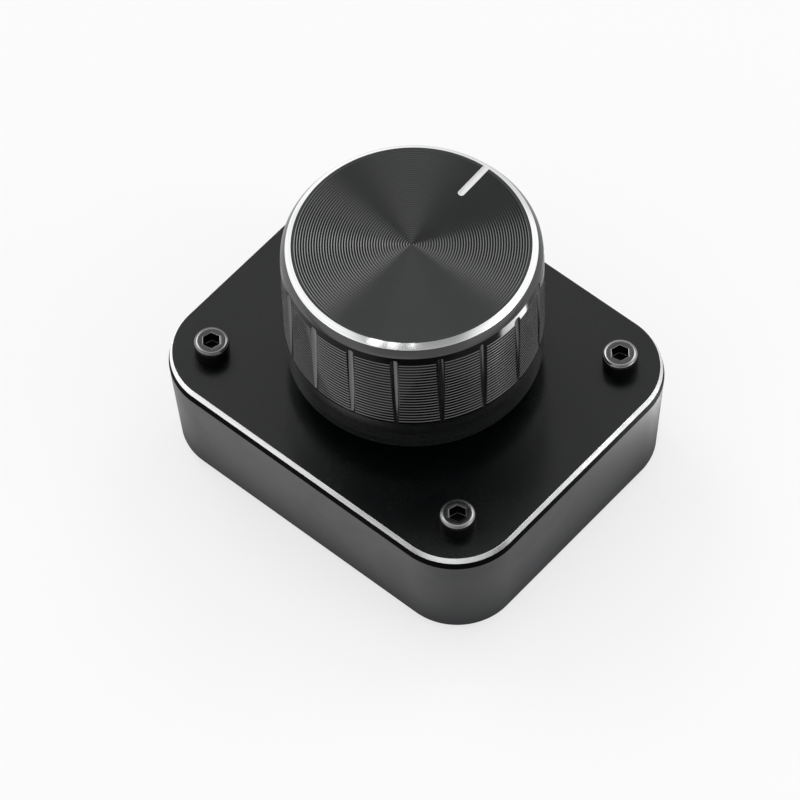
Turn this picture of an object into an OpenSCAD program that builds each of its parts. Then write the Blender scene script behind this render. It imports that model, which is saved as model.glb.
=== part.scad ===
// Desk volume control: a machined metal case with a screwed top plate and one large turned knob
// that turns without end and clicks when pressed. Millimetres, +Z up, front at -Y, socket at +Y.
// The origin lies on the desk under the middle of the case.

/* [Case] */
// Width of the case along X, at its top
case_w = 65.5; // [62:0.5:72]
// Depth of the case along Y, at its top
case_d = 54.2; // [52:0.2:62]
// Radius of the upright corners, at the top
corner_r = 10.9; // [10:0.1:12]
// Height of the case with its top plate
case_h = 19.5; // [18.5:0.5:24]
// How far each side leans in from its top to its bottom
side_taper = 1.1; // [0.4:0.1:1.4]
// Thickness of the walls at the bottom
case_wall = 2.5; // [2:0.1:2.8]
// Thickness of the floor
case_floor = 2; // [1.8:0.1:2.4]
// Diameter of the corner posts that take the cap screws
post_d = 8; // [7:0.1:8.6]
// Diameter of the rubber feet
foot_d = 8; // [6:0.5:9]
// Thickness of the rubber feet
foot_t = 1.8; // [1.4:0.1:2.4]
// How deep the feet sit in the floor
foot_recess = 0.8; // [0.4:0.1:1]
// Gap between a foot and the edge of the floor
foot_margin = 3.5; // [3:0.1:4.5]

/* [Top plate] */
// Thickness of the top plate
plate_t = 2; // [1.6:0.1:2.4]
// Width and depth of the bright bevel round the plate
plate_bevel = 0.6; // [0.3:0.1:0.8]
// Distance of the cap screws from the edges of the plate
screw_inset = 8; // [7.6:0.1:8.8]

/* [Cap screws] */
// Thread diameter
screw_d = 3; // [2.5:0.1:3.2]
// Length below the head
screw_len = 8; // [6:0.5:10]
// Diameter of the head
head_d = 5.5; // [5:0.1:6]
// Height of the head
head_h = 3; // [2.5:0.1:3.4]
// Width of the hex socket across its flats
socket_af = 2.5; // [2:0.1:3]
// Depth of the hex socket
socket_depth = 1.5; // [1:0.1:2]

/* [Knob] */
// Diameter of the knob
knob_d = 39.6; // [37:0.1:42]
// Height of the knob
knob_h = 25; // [24:0.5:30]
// Gap between the top plate and the knob
knob_gap = 4.5; // [3.6:0.1:6]
// Diameter of the recess under the knob that clears the mounting nut
recess_d = 17; // [15:0.5:20]
// Depth of that recess
recess_h = 2.5; // [1.5:0.1:3]
// Length of the set screw
set_screw_len = 6; // [4:0.5:8]
// Width of the bright bevel round the knob's top
ring_w = 0.9; // [0.6:0.1:1.2]
// Drop of the bright bevel
ring_drop = 0.65; // [0.4:0.05:0.9]
// Radius of the rounded shoulder below the bright bevel
shoulder_r = 0.85; // [0.5:0.05:1.2]
// Height of the smooth band between the shoulder and the grooves
upper_band = 1.9; // [1.5:0.1:2.5]
// Number of turned grooves round the grip
groove_count = 22; // [18:1:24]
// Distance from one groove to the next
groove_pitch = 0.69; // [0.5:0.01:0.75]
// Depth of a groove
groove_depth = 0.25; // [0.1:0.01:0.35]
// Share of the pitch that stays as a flat crest
crest_share = 0.34; // [0.2:0.02:0.6]
// Number of upright grip flutes
flute_count = 18; // [12:1:24]
// Width of a flute at the surface
flute_w = 1.4; // [0.8:0.05:1.6]
// Depth of a flute
flute_depth = 0.4; // [0.4:0.05:0.8]
// Angle of the first flute from +X
flute_start = 3; // [0:0.1:20]
// How far the flutes run up past the grooves
flute_over = 1; // [0.4:0.1:1.4]
// Rounding of the knob's lower edge
skirt_edge_r = 0.5; // [0.3:0.1:0.8]

/* [Pointer] */
// Direction of the pointer slot from +X
pointer_angle = 92.2; // [0:0.1:360]
// Width of the pointer slot
pointer_w = 1.1; // [0.8:0.1:2]
// Depth of the pointer slot
pointer_depth = 0.35; // [0.2:0.05:0.6]
// Distance of the slot's rounded inner end from the middle
pointer_inner = 11.5; // [8:0.5:15]

/* [Encoder] */
// Width of the encoder's body
encoder_w = 12; // [11.5:0.1:13]
// Height of the encoder's body above the circuit board
encoder_h = 6.8; // [6.8:0.1:8]
// Diameter of the threaded bushing
bushing_d = 7; // [6.8:0.1:8]
// Length of the bushing above its mounting face
bushing_len = 5; // [5:0.1:5.6]
// Diameter of the shaft
shaft_d = 6; // [5.6:0.1:6.2]
// Length of the shaft above the mounting face
shaft_len = 20; // [18:0.5:24]
// Length of the flat on the shaft
shaft_flat_len = 12; // [10.5:0.5:12.5]
// Thickness of the shaft across its flat
shaft_flat = 4.5; // [4:0.1:5]
// Travel of the push switch
press_travel = 0.5; // [0.3:0.05:0.6]
// Width of the mounting nut across its flats
nut_af = 10; // [9.5:0.1:11]
// Thickness of the mounting nut
nut_t = 2; // [1.6:0.1:2]
// Diameter of the washer under the nut
washer_d = 11; // [10:0.1:12]
// Thickness of the washer
washer_t = 0.5; // [0.3:0.1:0.6]
// Number of clicks in one turn
detent_count = 20; // [12:1:30]

/* [Circuit board] */
// Depth of the board along Y
board_d = 40; // [38:0.5:42]
// Thickness of the board
board_t = 1.6; // [1:0.1:1.6]
// Diameter of the pillars under the board
pillar_d = 5; // [4.4:0.1:5.6]
// Thread diameter of the board screws
board_screw_d = 2; // [1.6:0.1:2.2]
// Length of the board screws below the head
board_screw_len = 5; // [4:0.5:6]
// Diameter of the board screw heads
board_head_d = 3.8; // [3.4:0.1:4]
// Height of the board screw heads
board_head_h = 1.3; // [1:0.1:1.6]

/* [Data socket] */
// Width of the socket's metal shell
usb_w = 8.94; // [8.8:0.02:9.2]
// Height of the socket's metal shell
usb_h = 3.26; // [3.1:0.02:3.4]
// Length of the socket's metal shell
usb_len = 7.35; // [6.8:0.05:8]
// Thickness of the shell's sheet
usb_sheet = 0.3; // [0.2:0.05:0.35]
// Width of the recess round the socket
port_recess_w = 13; // [12.4:0.1:14]
// Height of the recess round the socket
port_recess_h = 7.4; // [6.8:0.1:7.8]
// Thickness of the wall left round the socket
port_web = 1.3; // [1:0.1:1.6]

/* [Hidden] */
$fn = 96;

// Named clearances
thread_gap = 0.05;
screw_gap = 0.2;
shaft_gap = 0.04;
slide_gap = 0.06;
touch_gap = 0.05;
port_gap = 0.25;
foot_gap = 0.1;
foot_dimple = 0.3;
board_side_gap = 0.75;
board_back_gap = 0.4;
spare = 1;

// Heights
case_z0 = foot_t - foot_recess;
floor_z = case_z0 + case_floor;
plate_top = case_z0 + case_h;
plate_z0 = plate_top - plate_t;
tray_h = case_h - plate_t;
board_z1 = plate_z0 - encoder_h;
board_z0 = board_z1 - board_t;
knob_z0 = plate_top + knob_gap;
knob_top = knob_z0 + knob_h;

// Plan sizes of the case
cavity_w = case_w - 2 * (side_taper + case_wall);
cavity_d = case_d - 2 * (side_taper + case_wall);
cavity_r = corner_r - side_taper - case_wall;
post_x = case_w / 2 - screw_inset;
post_y = case_d / 2 - screw_inset;
head_rim = 0.25;
foot_x = case_w / 2 - side_taper - foot_margin - foot_d / 2;
foot_y = case_d / 2 - side_taper - foot_margin - foot_d / 2;

// Board and its pillars
board_w = 2 * (post_x - post_d / 2 - board_side_gap);
board_y1 = cavity_d / 2 - board_back_gap;
board_y0 = board_y1 - board_d;
pillar_inset = 3.4;
pillar_x = board_w / 2 - pillar_inset;
pillar_ys = [board_y0 + pillar_inset, board_y1 - pillar_inset];
board_cross_w = 0.5;

// Small parts on the board
chip_w = 7;
chip_t = 1.2;
chip_lift = 0.1;
chip_mark_d = 0.8;
chip_mark_inset = 1;
chip_mark_xy = chip_w / 2 - chip_mark_inset;
chip_mark_depth = 0.1;
lead_count = 8;
lead_pitch = 0.8;
lead_len = 1;
lead_t = 0.4;
chip_side_gap = 3;
chip_screw_gap = 1.1;
chip_x = -board_w / 2 + chip_side_gap + lead_len + chip_w / 2;
chip_y = pillar_ys[0] + board_head_d / 2 + chip_screw_gap + lead_len + chip_w / 2;
chip_end_y = chip_y + chip_w / 2 + lead_len;
crystal_size = [3.2, 2.5, 0.8];
crystal_gap = 3;
regulator_size = [2.9, 1.6, 1.1];
regulator_inset = 9;
capacitor_size = [1.6, 0.8, 0.8];
capacitor_gap = 6;
capacitor_spread = 3;
resistor_size = [0.8, 1.6, 0.45];
resistor_lead_in = 2;
resistor_spread = 2.4;
small_part_step = 2.2;

// Socket
usb_z = board_z1 + usb_h / 2;
usb_y1 = cavity_d / 2 + port_web;
usb_y0 = usb_y1 - usb_len;
tongue_w = 6.65;
tongue_t = 0.7;
tongue_len = 4.45;
tab_len = 1.1;
tab_below = 0.3;
contact_count = 12;
contact_pitch = 0.5;
contact_t = 0.05;
contact_end_gap = 0.8;

// Encoder layers, from the board up
sheet_t = 0.3;
frame_side_inset = 1;
flange_t = 1.2;
flange_z0 = plate_z0 - sheet_t - flange_t;
base_floor = 1;
base_floor_z = board_z1 + base_floor;
base_wall = 1;
cavity_bore = encoder_w - 2 * base_wall;
collar_wall = 0.7;
plunger_d = 5.3;
collar_d = plunger_d + 2 * (slide_gap + collar_wall);
plunger_t = 0.7;
dome_d = 5;
dome_sheet = 0.1;
dome_h = press_travel + 2 * dome_sheet;
plunger_z0 = base_floor_z + dome_h + touch_gap;
plunger_z1 = plunger_z0 + plunger_t;
collar_over = 0.1;
collar_z1 = plunger_z1 + collar_over;
tail_d = 4.5;
tail_flat = 1.7;
rotor_bore_d = tail_d + 2 * slide_gap;
tail_z0 = plunger_z1 + touch_gap;
rotor_side_gap = 0.3;
rotor_under_gap = 0.2;
rotor_d = cavity_bore - 2 * rotor_side_gap;
rotor_t = 1;
rotor_z0 = collar_z1 + rotor_under_gap;
rotor_z1 = rotor_z0 + rotor_t;
clip_rim = 0.5;
clip_d = shaft_d + 2 * clip_rim;
clip_t = 0.4;
clip_z1 = flange_z0 - touch_gap;
clip_z0 = clip_z1 - clip_t;
clip_groove_depth = 0.75;
clip_groove_d = shaft_d - 2 * clip_groove_depth;
tail_collar_t = 0.3;
tail_collar_step = 0.2;
tail_collar_d = shaft_d - 2 * tail_collar_step;
detent_sheet = 0.2;
detent_gap = 0.15;
detent_rim_gap = 0.1;
detent_clip_gap = 0.3;
detent_leaf_w = 0.7;
detent_leaf_d = 0.5;
detent_leaf_out = 0.1;
notch_w = 0.35;
notch_depth = 0.25;
brush_t = 0.15;
brush_rim_gap = 0.2;
brush_collar_gap = 0.3;
brush_od = rotor_d - 2 * brush_rim_gap;
brush_id = collar_d + 2 * brush_collar_gap;
brush_finger_w = 0.2;
brush_finger_d = 0.5;
track_gap = 0.1;
lug_w = 2;
lug_below = 1.2;
pin_w = 0.8;
pin_t = 0.3;
pin_reach = 1;
pin_below = 1.4;
pin_hole_d = 1.2;
pin_row_y = encoder_w / 2 + pin_reach - pin_t / 2;
code_pin_xs = [-2.5, 0, 2.5];
switch_pin_xs = [-2.5, 2.5];
shaft_top = plate_z0 + shaft_len;
bushing_top = plate_z0 + bushing_len;

// Knob heights and radii
knob_r = knob_d / 2;
ring_outer_r = knob_r - shoulder_r;
face_r = ring_outer_r - ring_w;
shoulder_z = knob_top - ring_drop;
groove_top = shoulder_z - shoulder_r - upper_band;
groove_bottom = groove_top - groove_count * groove_pitch;
flute_top = groove_top + flute_over;
flute_foot = 0.1;
flute_bottom = groove_bottom + flute_foot;
skirt_step = 0.1;
skirt_r = knob_r - skirt_step;
bore_z0 = knob_z0 + recess_h;
bore_end_gap = 0.5;
set_screw_d = 3;
set_screw_y = shaft_flat - shaft_d / 2 + touch_gap;
set_screw_z = bore_z0 + (groove_bottom - bore_z0) / 2;
set_screw_af = 1.5;
arc_steps = 6;

black = [0.17, 0.17, 0.175];
black_grey = [0.3, 0.3, 0.31];
steel = [0.75, 0.75, 0.77];
brass = [0.85, 0.7, 0.4];
rubber = [0.08, 0.08, 0.08];
board_green = [0.05, 0.3, 0.18];
chip_black = [0.1, 0.1, 0.11];
plastic_grey = [0.25, 0.25, 0.27];
ceramic = [0.72, 0.6, 0.45];

// ---------- shared shapes ----------

// Places its children at the four points (+-x, +-y)
module at_corners(x, y) {
    for (sx = [-1, 1], sy = [-1, 1])
        translate([sx * x, sy * y, 0])
            children();
}

// Cube centred in X and Y that stands on z = 0
module block(size) {
    translate([-size[0] / 2, -size[1] / 2, 0])
        cube(size);
}

// Slab along X whose two ends lean in towards the bottom
module leaning_slab(length, breadth, height, taper) {
    rotate([90, 0, 0])
        linear_extrude(breadth, center = true)
            polygon([
                [-length / 2 + taper, 0], [length / 2 - taper, 0],
                [length / 2, height], [-length / 2, height]
            ]);
}

// Block with round upright corners whose sides lean in towards the bottom
module leaning_block(w, d, r, height, taper) {
    at_corners(w / 2 - r, d / 2 - r)
        cylinder(h = height, r1 = r - taper, r2 = r);
    leaning_slab(w, d - 2 * r, height, taper);
    rotate([0, 0, 90])
        leaning_slab(d, w - 2 * r, height, taper);
}

// Bar along +Y with a round-ended section, centred on the Y axis
module stadium_bar(w, h, length) {
    for (side = [-1, 1])
        translate([side * (w - h) / 2, 0, 0])
            rotate([-90, 0, 0])
                cylinder(h = length, d = h);
    translate([-(w - h) / 2, 0, -h / 2])
        cube([w - h, length, h]);
}

// Hexagonal prism of the given width across its flats
module hex_prism(across_flats, height) {
    cylinder(h = height, d = across_flats / cos(30), $fn = 6);
}

// Round bar along +Z with a flat on its +Y side
module flatted_bar(d, across_flat, height) {
    intersection() {
        cylinder(h = height, d = d);
        translate([-d, -d, -spare])
            cube([2 * d, d + across_flat - d / 2, height + 2 * spare]);
    }
}

// ---------- case ----------

module base_tray() {
    color(black_grey)
        difference() {
            union() {
                difference() {
                    translate([0, 0, case_z0])
                        leaning_block(case_w, case_d, corner_r, tray_h, side_taper);
                    translate([0, 0, floor_z])
                        leaning_block(cavity_w, cavity_d, cavity_r, tray_h, 0);
                }
                translate([0, 0, floor_z - spare / 2])
                    at_corners(post_x, post_y)
                        cylinder(h = plate_z0 - floor_z + spare / 2, d = post_d);
                for (x = [-pillar_x, pillar_x], y = pillar_ys)
                    translate([x, y, floor_z - spare / 2])
                        cylinder(h = board_z0 - floor_z + spare / 2, d = pillar_d);
            }
            translate([0, 0, plate_top - screw_len - spare])
                at_corners(post_x, post_y)
                    cylinder(h = screw_len + 2 * spare, d = screw_d);
            for (x = [-pillar_x, pillar_x], y = pillar_ys)
                translate([x, y, board_z1 - board_screw_len - spare / 2])
                    cylinder(h = board_screw_len + spare, d = board_screw_d);
            translate([0, 0, case_z0 - spare])
                at_corners(foot_x, foot_y)
                    cylinder(h = foot_recess + spare, d = foot_d + 2 * foot_gap);
            translate([0, cavity_d / 2 - spare, usb_z])
                stadium_bar(usb_w + 2 * port_gap, usb_h + 2 * port_gap, case_wall + 2 * spare);
            translate([0, usb_y1, usb_z])
                stadium_bar(port_recess_w, port_recess_h, case_wall + side_taper + spare);
        }
}

module rubber_feet() {
    color(rubber)
        at_corners(foot_x, foot_y)
            difference() {
                cylinder(h = foot_t, d = foot_d);
                translate([0, 0, -spare])
                    cylinder(h = spare + foot_dimple, d = foot_d / 2);
            }
}

module top_plate() {
    color(black)
        difference() {
            union() {
                translate([0, 0, plate_z0])
                    leaning_block(case_w, case_d, corner_r, plate_t - plate_bevel, 0);
                translate([0, 0, plate_top])
                    mirror([0, 0, 1])
                        leaning_block(case_w, case_d, corner_r, plate_bevel, plate_bevel);
            }
            translate([0, 0, plate_z0 - spare])
                at_corners(post_x, post_y)
                    cylinder(h = plate_t + 2 * spare, d = screw_d + 2 * screw_gap);
            translate([0, 0, plate_z0 - spare])
                cylinder(h = plate_t + 2 * spare, d = bushing_d + screw_gap);
        }
}

// Socket-head cap screw, its head standing on z = 0
module cap_screw() {
    difference() {
        union() {
            translate([0, 0, -screw_len])
                cylinder(h = screw_len + spare, d = screw_d - 2 * thread_gap);
            cylinder(h = head_h - head_rim, d = head_d);
            translate([0, 0, head_h - head_rim])
                cylinder(h = head_rim, d1 = head_d, d2 = head_d - 2 * head_rim);
        }
        translate([0, 0, head_h - socket_depth])
            hex_prism(socket_af, socket_depth + spare);
    }
}

module cap_screws() {
    color(black)
        translate([0, 0, plate_top])
            at_corners(post_x, post_y)
                cap_screw();
}

// ---------- circuit board ----------

module circuit_board() {
    hole_z = board_z0 - spare;
    hole_h = board_t + 2 * spare;
    color(board_green)
        difference() {
            translate([-board_w / 2, board_y0, board_z0])
                cube([board_w, board_d, board_t]);
            for (x = [-pillar_x, pillar_x], y = pillar_ys)
                translate([x, y, hole_z])
                    cylinder(h = hole_h, d = board_screw_d + 2 * screw_gap);
            for (x = code_pin_xs)
                translate([x, -pin_row_y, hole_z])
                    cylinder(h = hole_h, d = pin_hole_d);
            for (x = switch_pin_xs)
                translate([x, pin_row_y, hole_z])
                    cylinder(h = hole_h, d = pin_hole_d);
            for (side = [-1, 1])
                translate([side * (encoder_w + sheet_t) / 2, 0, hole_z])
                    block([sheet_t + 2 * screw_gap, lug_w + 2 * screw_gap, hole_h]);
            for (side = [-1, 1], y = [usb_y0 + tab_len, board_y1 - 2 * tab_len])
                translate([side * (usb_w - usb_sheet) / 2, y, hole_z])
                    block([usb_sheet + 2 * screw_gap, tab_len + 2 * screw_gap, hole_h]);
        }
}

module board_screws() {
    color(steel)
        for (x = [-pillar_x, pillar_x], y = pillar_ys)
            translate([x, y, board_z1])
                difference() {
                    union() {
                        translate([0, 0, -board_screw_len])
                            cylinder(h = board_screw_len + spare / 2, d = board_screw_d - 2 * thread_gap);
                        cylinder(h = board_head_h, d1 = board_head_d, d2 = board_head_d * 0.8);
                    }
                    translate([0, 0, board_head_h / 2])
                        for (turn = [0, 90])
                            rotate([0, 0, turn])
                                block([board_head_d / 2, board_cross_w, spare]);
                }
}

module usb_shell() {
    color(steel) {
        difference() {
            translate([0, usb_y0, usb_z])
                stadium_bar(usb_w, usb_h, usb_len);
            translate([0, usb_y0 + usb_sheet, usb_z])
                stadium_bar(usb_w - 2 * usb_sheet, usb_h - 2 * usb_sheet, usb_len);
        }
        for (side = [-1, 1], y = [usb_y0 + tab_len, board_y1 - 2 * tab_len])
            translate([side * (usb_w - usb_sheet) / 2, y, board_z0 - tab_below])
                block([usb_sheet, tab_len, usb_z - board_z0 + tab_below]);
    }
}

module usb_tongue() {
    rear_len = usb_len - usb_sheet - tongue_len - spare;
    color(chip_black) {
        translate([0, usb_y0 + usb_sheet, usb_z])
            stadium_bar(usb_w - 2 * usb_sheet, usb_h - 2 * usb_sheet, rear_len);
        translate([-tongue_w / 2, usb_y0 + usb_sheet, usb_z - tongue_t / 2])
            cube([tongue_w, rear_len + tongue_len, tongue_t]);
    }
}

module usb_contacts() {
    contact_y = usb_y0 + usb_len - tongue_len - spare;
    color(brass)
        for (i = [0 : contact_count - 1], side = [-1, 1])
            translate([
                (i - (contact_count - 1) / 2) * contact_pitch,
                contact_y,
                usb_z + side * (tongue_t + contact_t) / 2 - contact_t / 2
            ])
                translate([-contact_pitch / 4, 0, 0])
                    cube([contact_pitch / 2, tongue_len - contact_end_gap, contact_t]);
}

module controller_chip() {
    color(chip_black)
        translate([chip_x, chip_y, board_z1 + chip_lift])
            difference() {
                block([chip_w, chip_w, chip_t]);
                translate([-chip_mark_xy, chip_mark_xy, chip_t - chip_mark_depth])
                    cylinder(h = spare, d = chip_mark_d);
            }
}

module controller_leads() {
    color(steel)
        translate([chip_x, chip_y, board_z1])
            for (side = [0 : 3], i = [0 : lead_count - 1])
                rotate([0, 0, side * 90])
                    translate([(i - (lead_count - 1) / 2) * lead_pitch, chip_w / 2 + lead_len / 2, 0])
                        block([lead_pitch / 2, lead_len, lead_t]);
}

module clock_crystal() {
    color(steel)
        translate([chip_x, chip_end_y + crystal_gap, board_z1])
            block(crystal_size);
}

module voltage_regulator() {
    color(chip_black)
        translate([-chip_x, board_y1 - regulator_inset, board_z1])
            block(regulator_size);
}

// Two columns of equal small blocks on the board, counted up from their lowest pair
module paired_blocks(count, size, x, y, spread) {
    for (i = [0 : count - 1])
        translate([x + (i % 2 - 0.5) * spread, y + floor(i / 2) * small_part_step, board_z1])
            block(size);
}

module capacitors() {
    color(ceramic)
        paired_blocks(4, capacitor_size, chip_x, chip_end_y + capacitor_gap, capacitor_spread);
}

module resistors() {
    color(chip_black)
        paired_blocks(6, resistor_size, -chip_x, chip_y - resistor_lead_in, resistor_spread);
}

// ---------- encoder ----------

module encoder_base() {
    color(plastic_grey) {
        difference() {
            translate([0, 0, board_z1])
                block([encoder_w, encoder_w, flange_z0 - board_z1]);
            translate([0, 0, base_floor_z])
                cylinder(h = encoder_h, d = cavity_bore);
        }
        translate([0, 0, base_floor_z - base_floor / 2])
            difference() {
                cylinder(h = collar_z1 - base_floor_z + base_floor / 2, d = collar_d);
                translate([0, 0, base_floor / 2])
                    cylinder(h = encoder_h, d = plunger_d + 2 * slide_gap);
            }
    }
}

module encoder_frame() {
    sheet_x = encoder_w / 2;
    color(steel)
        difference() {
            union() {
                translate([0, 0, plate_z0 - sheet_t])
                    block([encoder_w + 2 * sheet_t, encoder_w, sheet_t]);
                for (side = [-1, 1])
                    translate([side * (sheet_x + sheet_t / 2), 0, 0]) {
                        translate([0, 0, board_z1])
                            block([sheet_t, encoder_w - 2 * frame_side_inset, encoder_h]);
                        translate([0, 0, board_z0 - lug_below])
                            block([sheet_t, lug_w, encoder_h]);
                    }
            }
            translate([0, 0, plate_z0 - sheet_t - spare])
                cylinder(h = sheet_t + 2 * spare, d = bushing_d + 2 * thread_gap);
        }
}

// One bent terminal that leaves the base on its +Y side and goes down through the board
module terminal() {
    translate([-pin_w / 2, encoder_w / 2, board_z1 + base_floor / 2])
        cube([pin_w, pin_reach, pin_t]);
    translate([-pin_w / 2, encoder_w / 2 + pin_reach - pin_t, board_z0 - pin_below])
        cube([pin_w, pin_t, board_t + pin_below + base_floor / 2 + pin_t]);
}

module encoder_pins() {
    color(steel) {
        for (x = switch_pin_xs)
            translate([x, 0, 0])
                terminal();
        for (x = code_pin_xs)
            translate([x, 0, 0])
                rotate([0, 0, 180])
                    terminal();
    }
}

module encoder_bushing() {
    color(steel)
        difference() {
            union() {
                translate([0, 0, flange_z0])
                    block([encoder_w - 2 * touch_gap, encoder_w - 2 * touch_gap, flange_t]);
                translate([0, 0, flange_z0 + flange_t / 2])
                    cylinder(h = bushing_top - flange_z0 - flange_t / 2, d = bushing_d);
            }
            translate([0, 0, flange_z0 - spare])
                cylinder(h = bushing_top - flange_z0 + 2 * spare, d = shaft_d + 2 * shaft_gap);
        }
}

// Ring under the flange with two leaves that ride on the rotor's notches
module detent_spring() {
    leaf_r = (cavity_bore + clip_d) / 4 + detent_leaf_out;
    leaf_drop = flange_z0 - detent_sheet - rotor_z1 - detent_gap;
    color(steel)
        translate([0, 0, flange_z0 - detent_sheet]) {
            difference() {
                cylinder(h = detent_sheet, d = cavity_bore - 2 * detent_rim_gap);
                translate([0, 0, -spare])
                    cylinder(h = detent_sheet + 2 * spare, d = clip_d + 2 * detent_clip_gap);
            }
            for (turn = [0, 180])
                rotate([0, 0, turn])
                    translate([leaf_r, 0, -leaf_drop])
                        block([detent_leaf_w, detent_leaf_d, leaf_drop + detent_sheet / 2]);
        }
}

module encoder_rotor() {
    color(plastic_grey)
        difference() {
            translate([0, 0, rotor_z0])
                cylinder(h = rotor_t, d = rotor_d);
            translate([0, 0, rotor_z0 - spare])
                flatted_bar(rotor_bore_d, rotor_bore_d / 2 + tail_flat + slide_gap, rotor_t + 2 * spare);
            for (i = [0 : detent_count - 1])
                rotate([0, 0, (i + 0.5) * 360 / detent_count])
                    translate([clip_d / 2, -notch_w / 2, rotor_z1 - notch_depth])
                        cube([rotor_d, notch_w, notch_depth + spare]);
        }
}

// Contact ring under the rotor with three fingers that reach the tracks in the base
module wiper_brush() {
    finger_r = (brush_od + brush_id) / 4;
    finger_drop = rotor_z0 - brush_t - base_floor_z - track_gap;
    color(brass)
        translate([0, 0, rotor_z0 - brush_t]) {
            difference() {
                cylinder(h = brush_t, d = brush_od);
                translate([0, 0, -spare])
                    cylinder(h = brush_t + 2 * spare, d = brush_id);
            }
            for (turn = [0, 120, 240])
                rotate([0, 0, turn])
                    translate([finger_r, 0, -finger_drop])
                        block([brush_finger_w, brush_finger_d, finger_drop + brush_t / 2]);
        }
}

// Thin sprung cap that snaps down when the plunger presses it
module switch_dome() {
    sphere_r = (dome_h * dome_h + dome_d * dome_d / 4) / (2 * dome_h);
    color(steel)
        translate([0, 0, base_floor_z])
            intersection() {
                translate([0, 0, dome_h - sphere_r])
                    difference() {
                        sphere(r = sphere_r);
                        sphere(r = sphere_r - dome_sheet);
                    }
                cylinder(h = dome_h + spare, d = dome_d + spare);
            }
}

module switch_plunger() {
    color(rubber)
        translate([0, 0, plunger_z0])
            cylinder(h = plunger_t, d = plunger_d);
}

module lock_washer() {
    color(steel)
        translate([0, 0, plate_top])
            difference() {
                cylinder(h = washer_t, d = washer_d);
                translate([0, 0, -spare])
                    cylinder(h = washer_t + 2 * spare, d = bushing_d + screw_gap);
            }
}

module mounting_nut() {
    color(steel)
        translate([0, 0, plate_top + washer_t])
            difference() {
                hex_prism(nut_af, nut_t);
                translate([0, 0, -spare])
                    cylinder(h = nut_t + 2 * spare, d = bushing_d + 2 * thread_gap);
            }
}

module encoder_shaft() {
    flat_z0 = shaft_top - shaft_flat_len;
    color(steel)
        union() {
            translate([0, 0, clip_z1])
                cylinder(h = flat_z0 - clip_z1, d = shaft_d);
            rotate([0, 0, pointer_angle - 90])
                translate([0, 0, clip_z1 + spare])
                    flatted_bar(shaft_d, shaft_flat, shaft_top - clip_z1 - spare);
            translate([0, 0, clip_z0 - tail_collar_t / 2])
                cylinder(h = clip_t + tail_collar_t / 2 + spare, d = clip_groove_d);
            translate([0, 0, clip_z0 - tail_collar_t])
                cylinder(h = tail_collar_t, d = tail_collar_d);
            translate([0, 0, tail_z0])
                flatted_bar(tail_d, tail_d / 2 + tail_flat, clip_z0 - tail_collar_t / 2 - tail_z0);
        }
}

module shaft_clip() {
    color(steel)
        translate([0, 0, clip_z0])
            difference() {
                cylinder(h = clip_t, d = clip_d);
                translate([0, 0, -spare])
                    cylinder(h = clip_t + 2 * spare, d = clip_groove_d);
                translate([0, -clip_d, -spare])
                    block([clip_groove_d * 0.8, 2 * clip_d, clip_t + 2 * spare]);
            }
}

// ---------- knob ----------

// Points of one turned groove whose upper edge is at height z
function groove_points(z) = [
    [knob_r, z],
    [knob_r - groove_depth, z - groove_pitch * (1 - crest_share) / 2],
    [knob_r, z - groove_pitch * (1 - crest_share)]
];

// Points of a quarter arc from angle a0 to a1 about a centre
function arc_points(cr, cz, r, a0, a1) = [
    for (i = [0 : arc_steps])
        let (a = a0 + (a1 - a0) * i / arc_steps)
            [cr + r * cos(a), cz + r * sin(a)]
];

// Half section of the knob, from its middle out over the top and down the outside
function knob_outline() = concat(
    [[0, knob_top], [face_r, knob_top]],
    arc_points(knob_r - shoulder_r, shoulder_z - shoulder_r, shoulder_r, 90, 0),
    [for (i = [0 : groove_count - 1], p = groove_points(groove_top - i * groove_pitch)) p],
    [[knob_r, groove_bottom], [skirt_r, groove_bottom]],
    arc_points(skirt_r - skirt_edge_r, knob_z0 + skirt_edge_r, skirt_edge_r, 0, -90),
    [[recess_d / 2, knob_z0], [recess_d / 2, bore_z0], [0, bore_z0]]
);

// Upright V-shaped cutter for one grip flute
module flute_cutter() {
    mouth = flute_w / 2 * (flute_depth + spare) / flute_depth;
    translate([knob_r, 0, flute_bottom])
        linear_extrude(flute_top - flute_bottom)
            polygon([[-flute_depth, 0], [spare, -mouth], [spare, mouth]]);
}

module pointer_cutter() {
    translate([0, 0, knob_top - pointer_depth]) {
        translate([pointer_inner + pointer_w / 2, 0, 0])
            cylinder(h = pointer_depth + spare, d = pointer_w);
        translate([pointer_inner + pointer_w / 2, -pointer_w / 2, 0])
            cube([knob_r, pointer_w, pointer_depth + spare]);
    }
}

module knob_body() {
    color(black)
        difference() {
            rotate_extrude()
                polygon(knob_outline());
            for (i = [0 : flute_count - 1])
                rotate([0, 0, flute_start + i * 360 / flute_count])
                    flute_cutter();
            rotate([0, 0, pointer_angle])
                pointer_cutter();
            rotate([0, 0, pointer_angle - 90]) {
                translate([0, 0, bore_z0 - spare])
                    flatted_bar(
                        shaft_d + 2 * shaft_gap, shaft_flat + 2 * shaft_gap,
                        shaft_top + bore_end_gap - bore_z0 + spare
                    );
                translate([0, 0, set_screw_z])
                    rotate([-90, 0, 0])
                        cylinder(h = knob_r, d = set_screw_d);
                translate([0, set_screw_y + set_screw_len + spare, set_screw_z])
                    rotate([-90, 0, 0])
                        cylinder(h = knob_r, d = set_screw_d + 2 * screw_gap);
            }
        }
}

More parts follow.
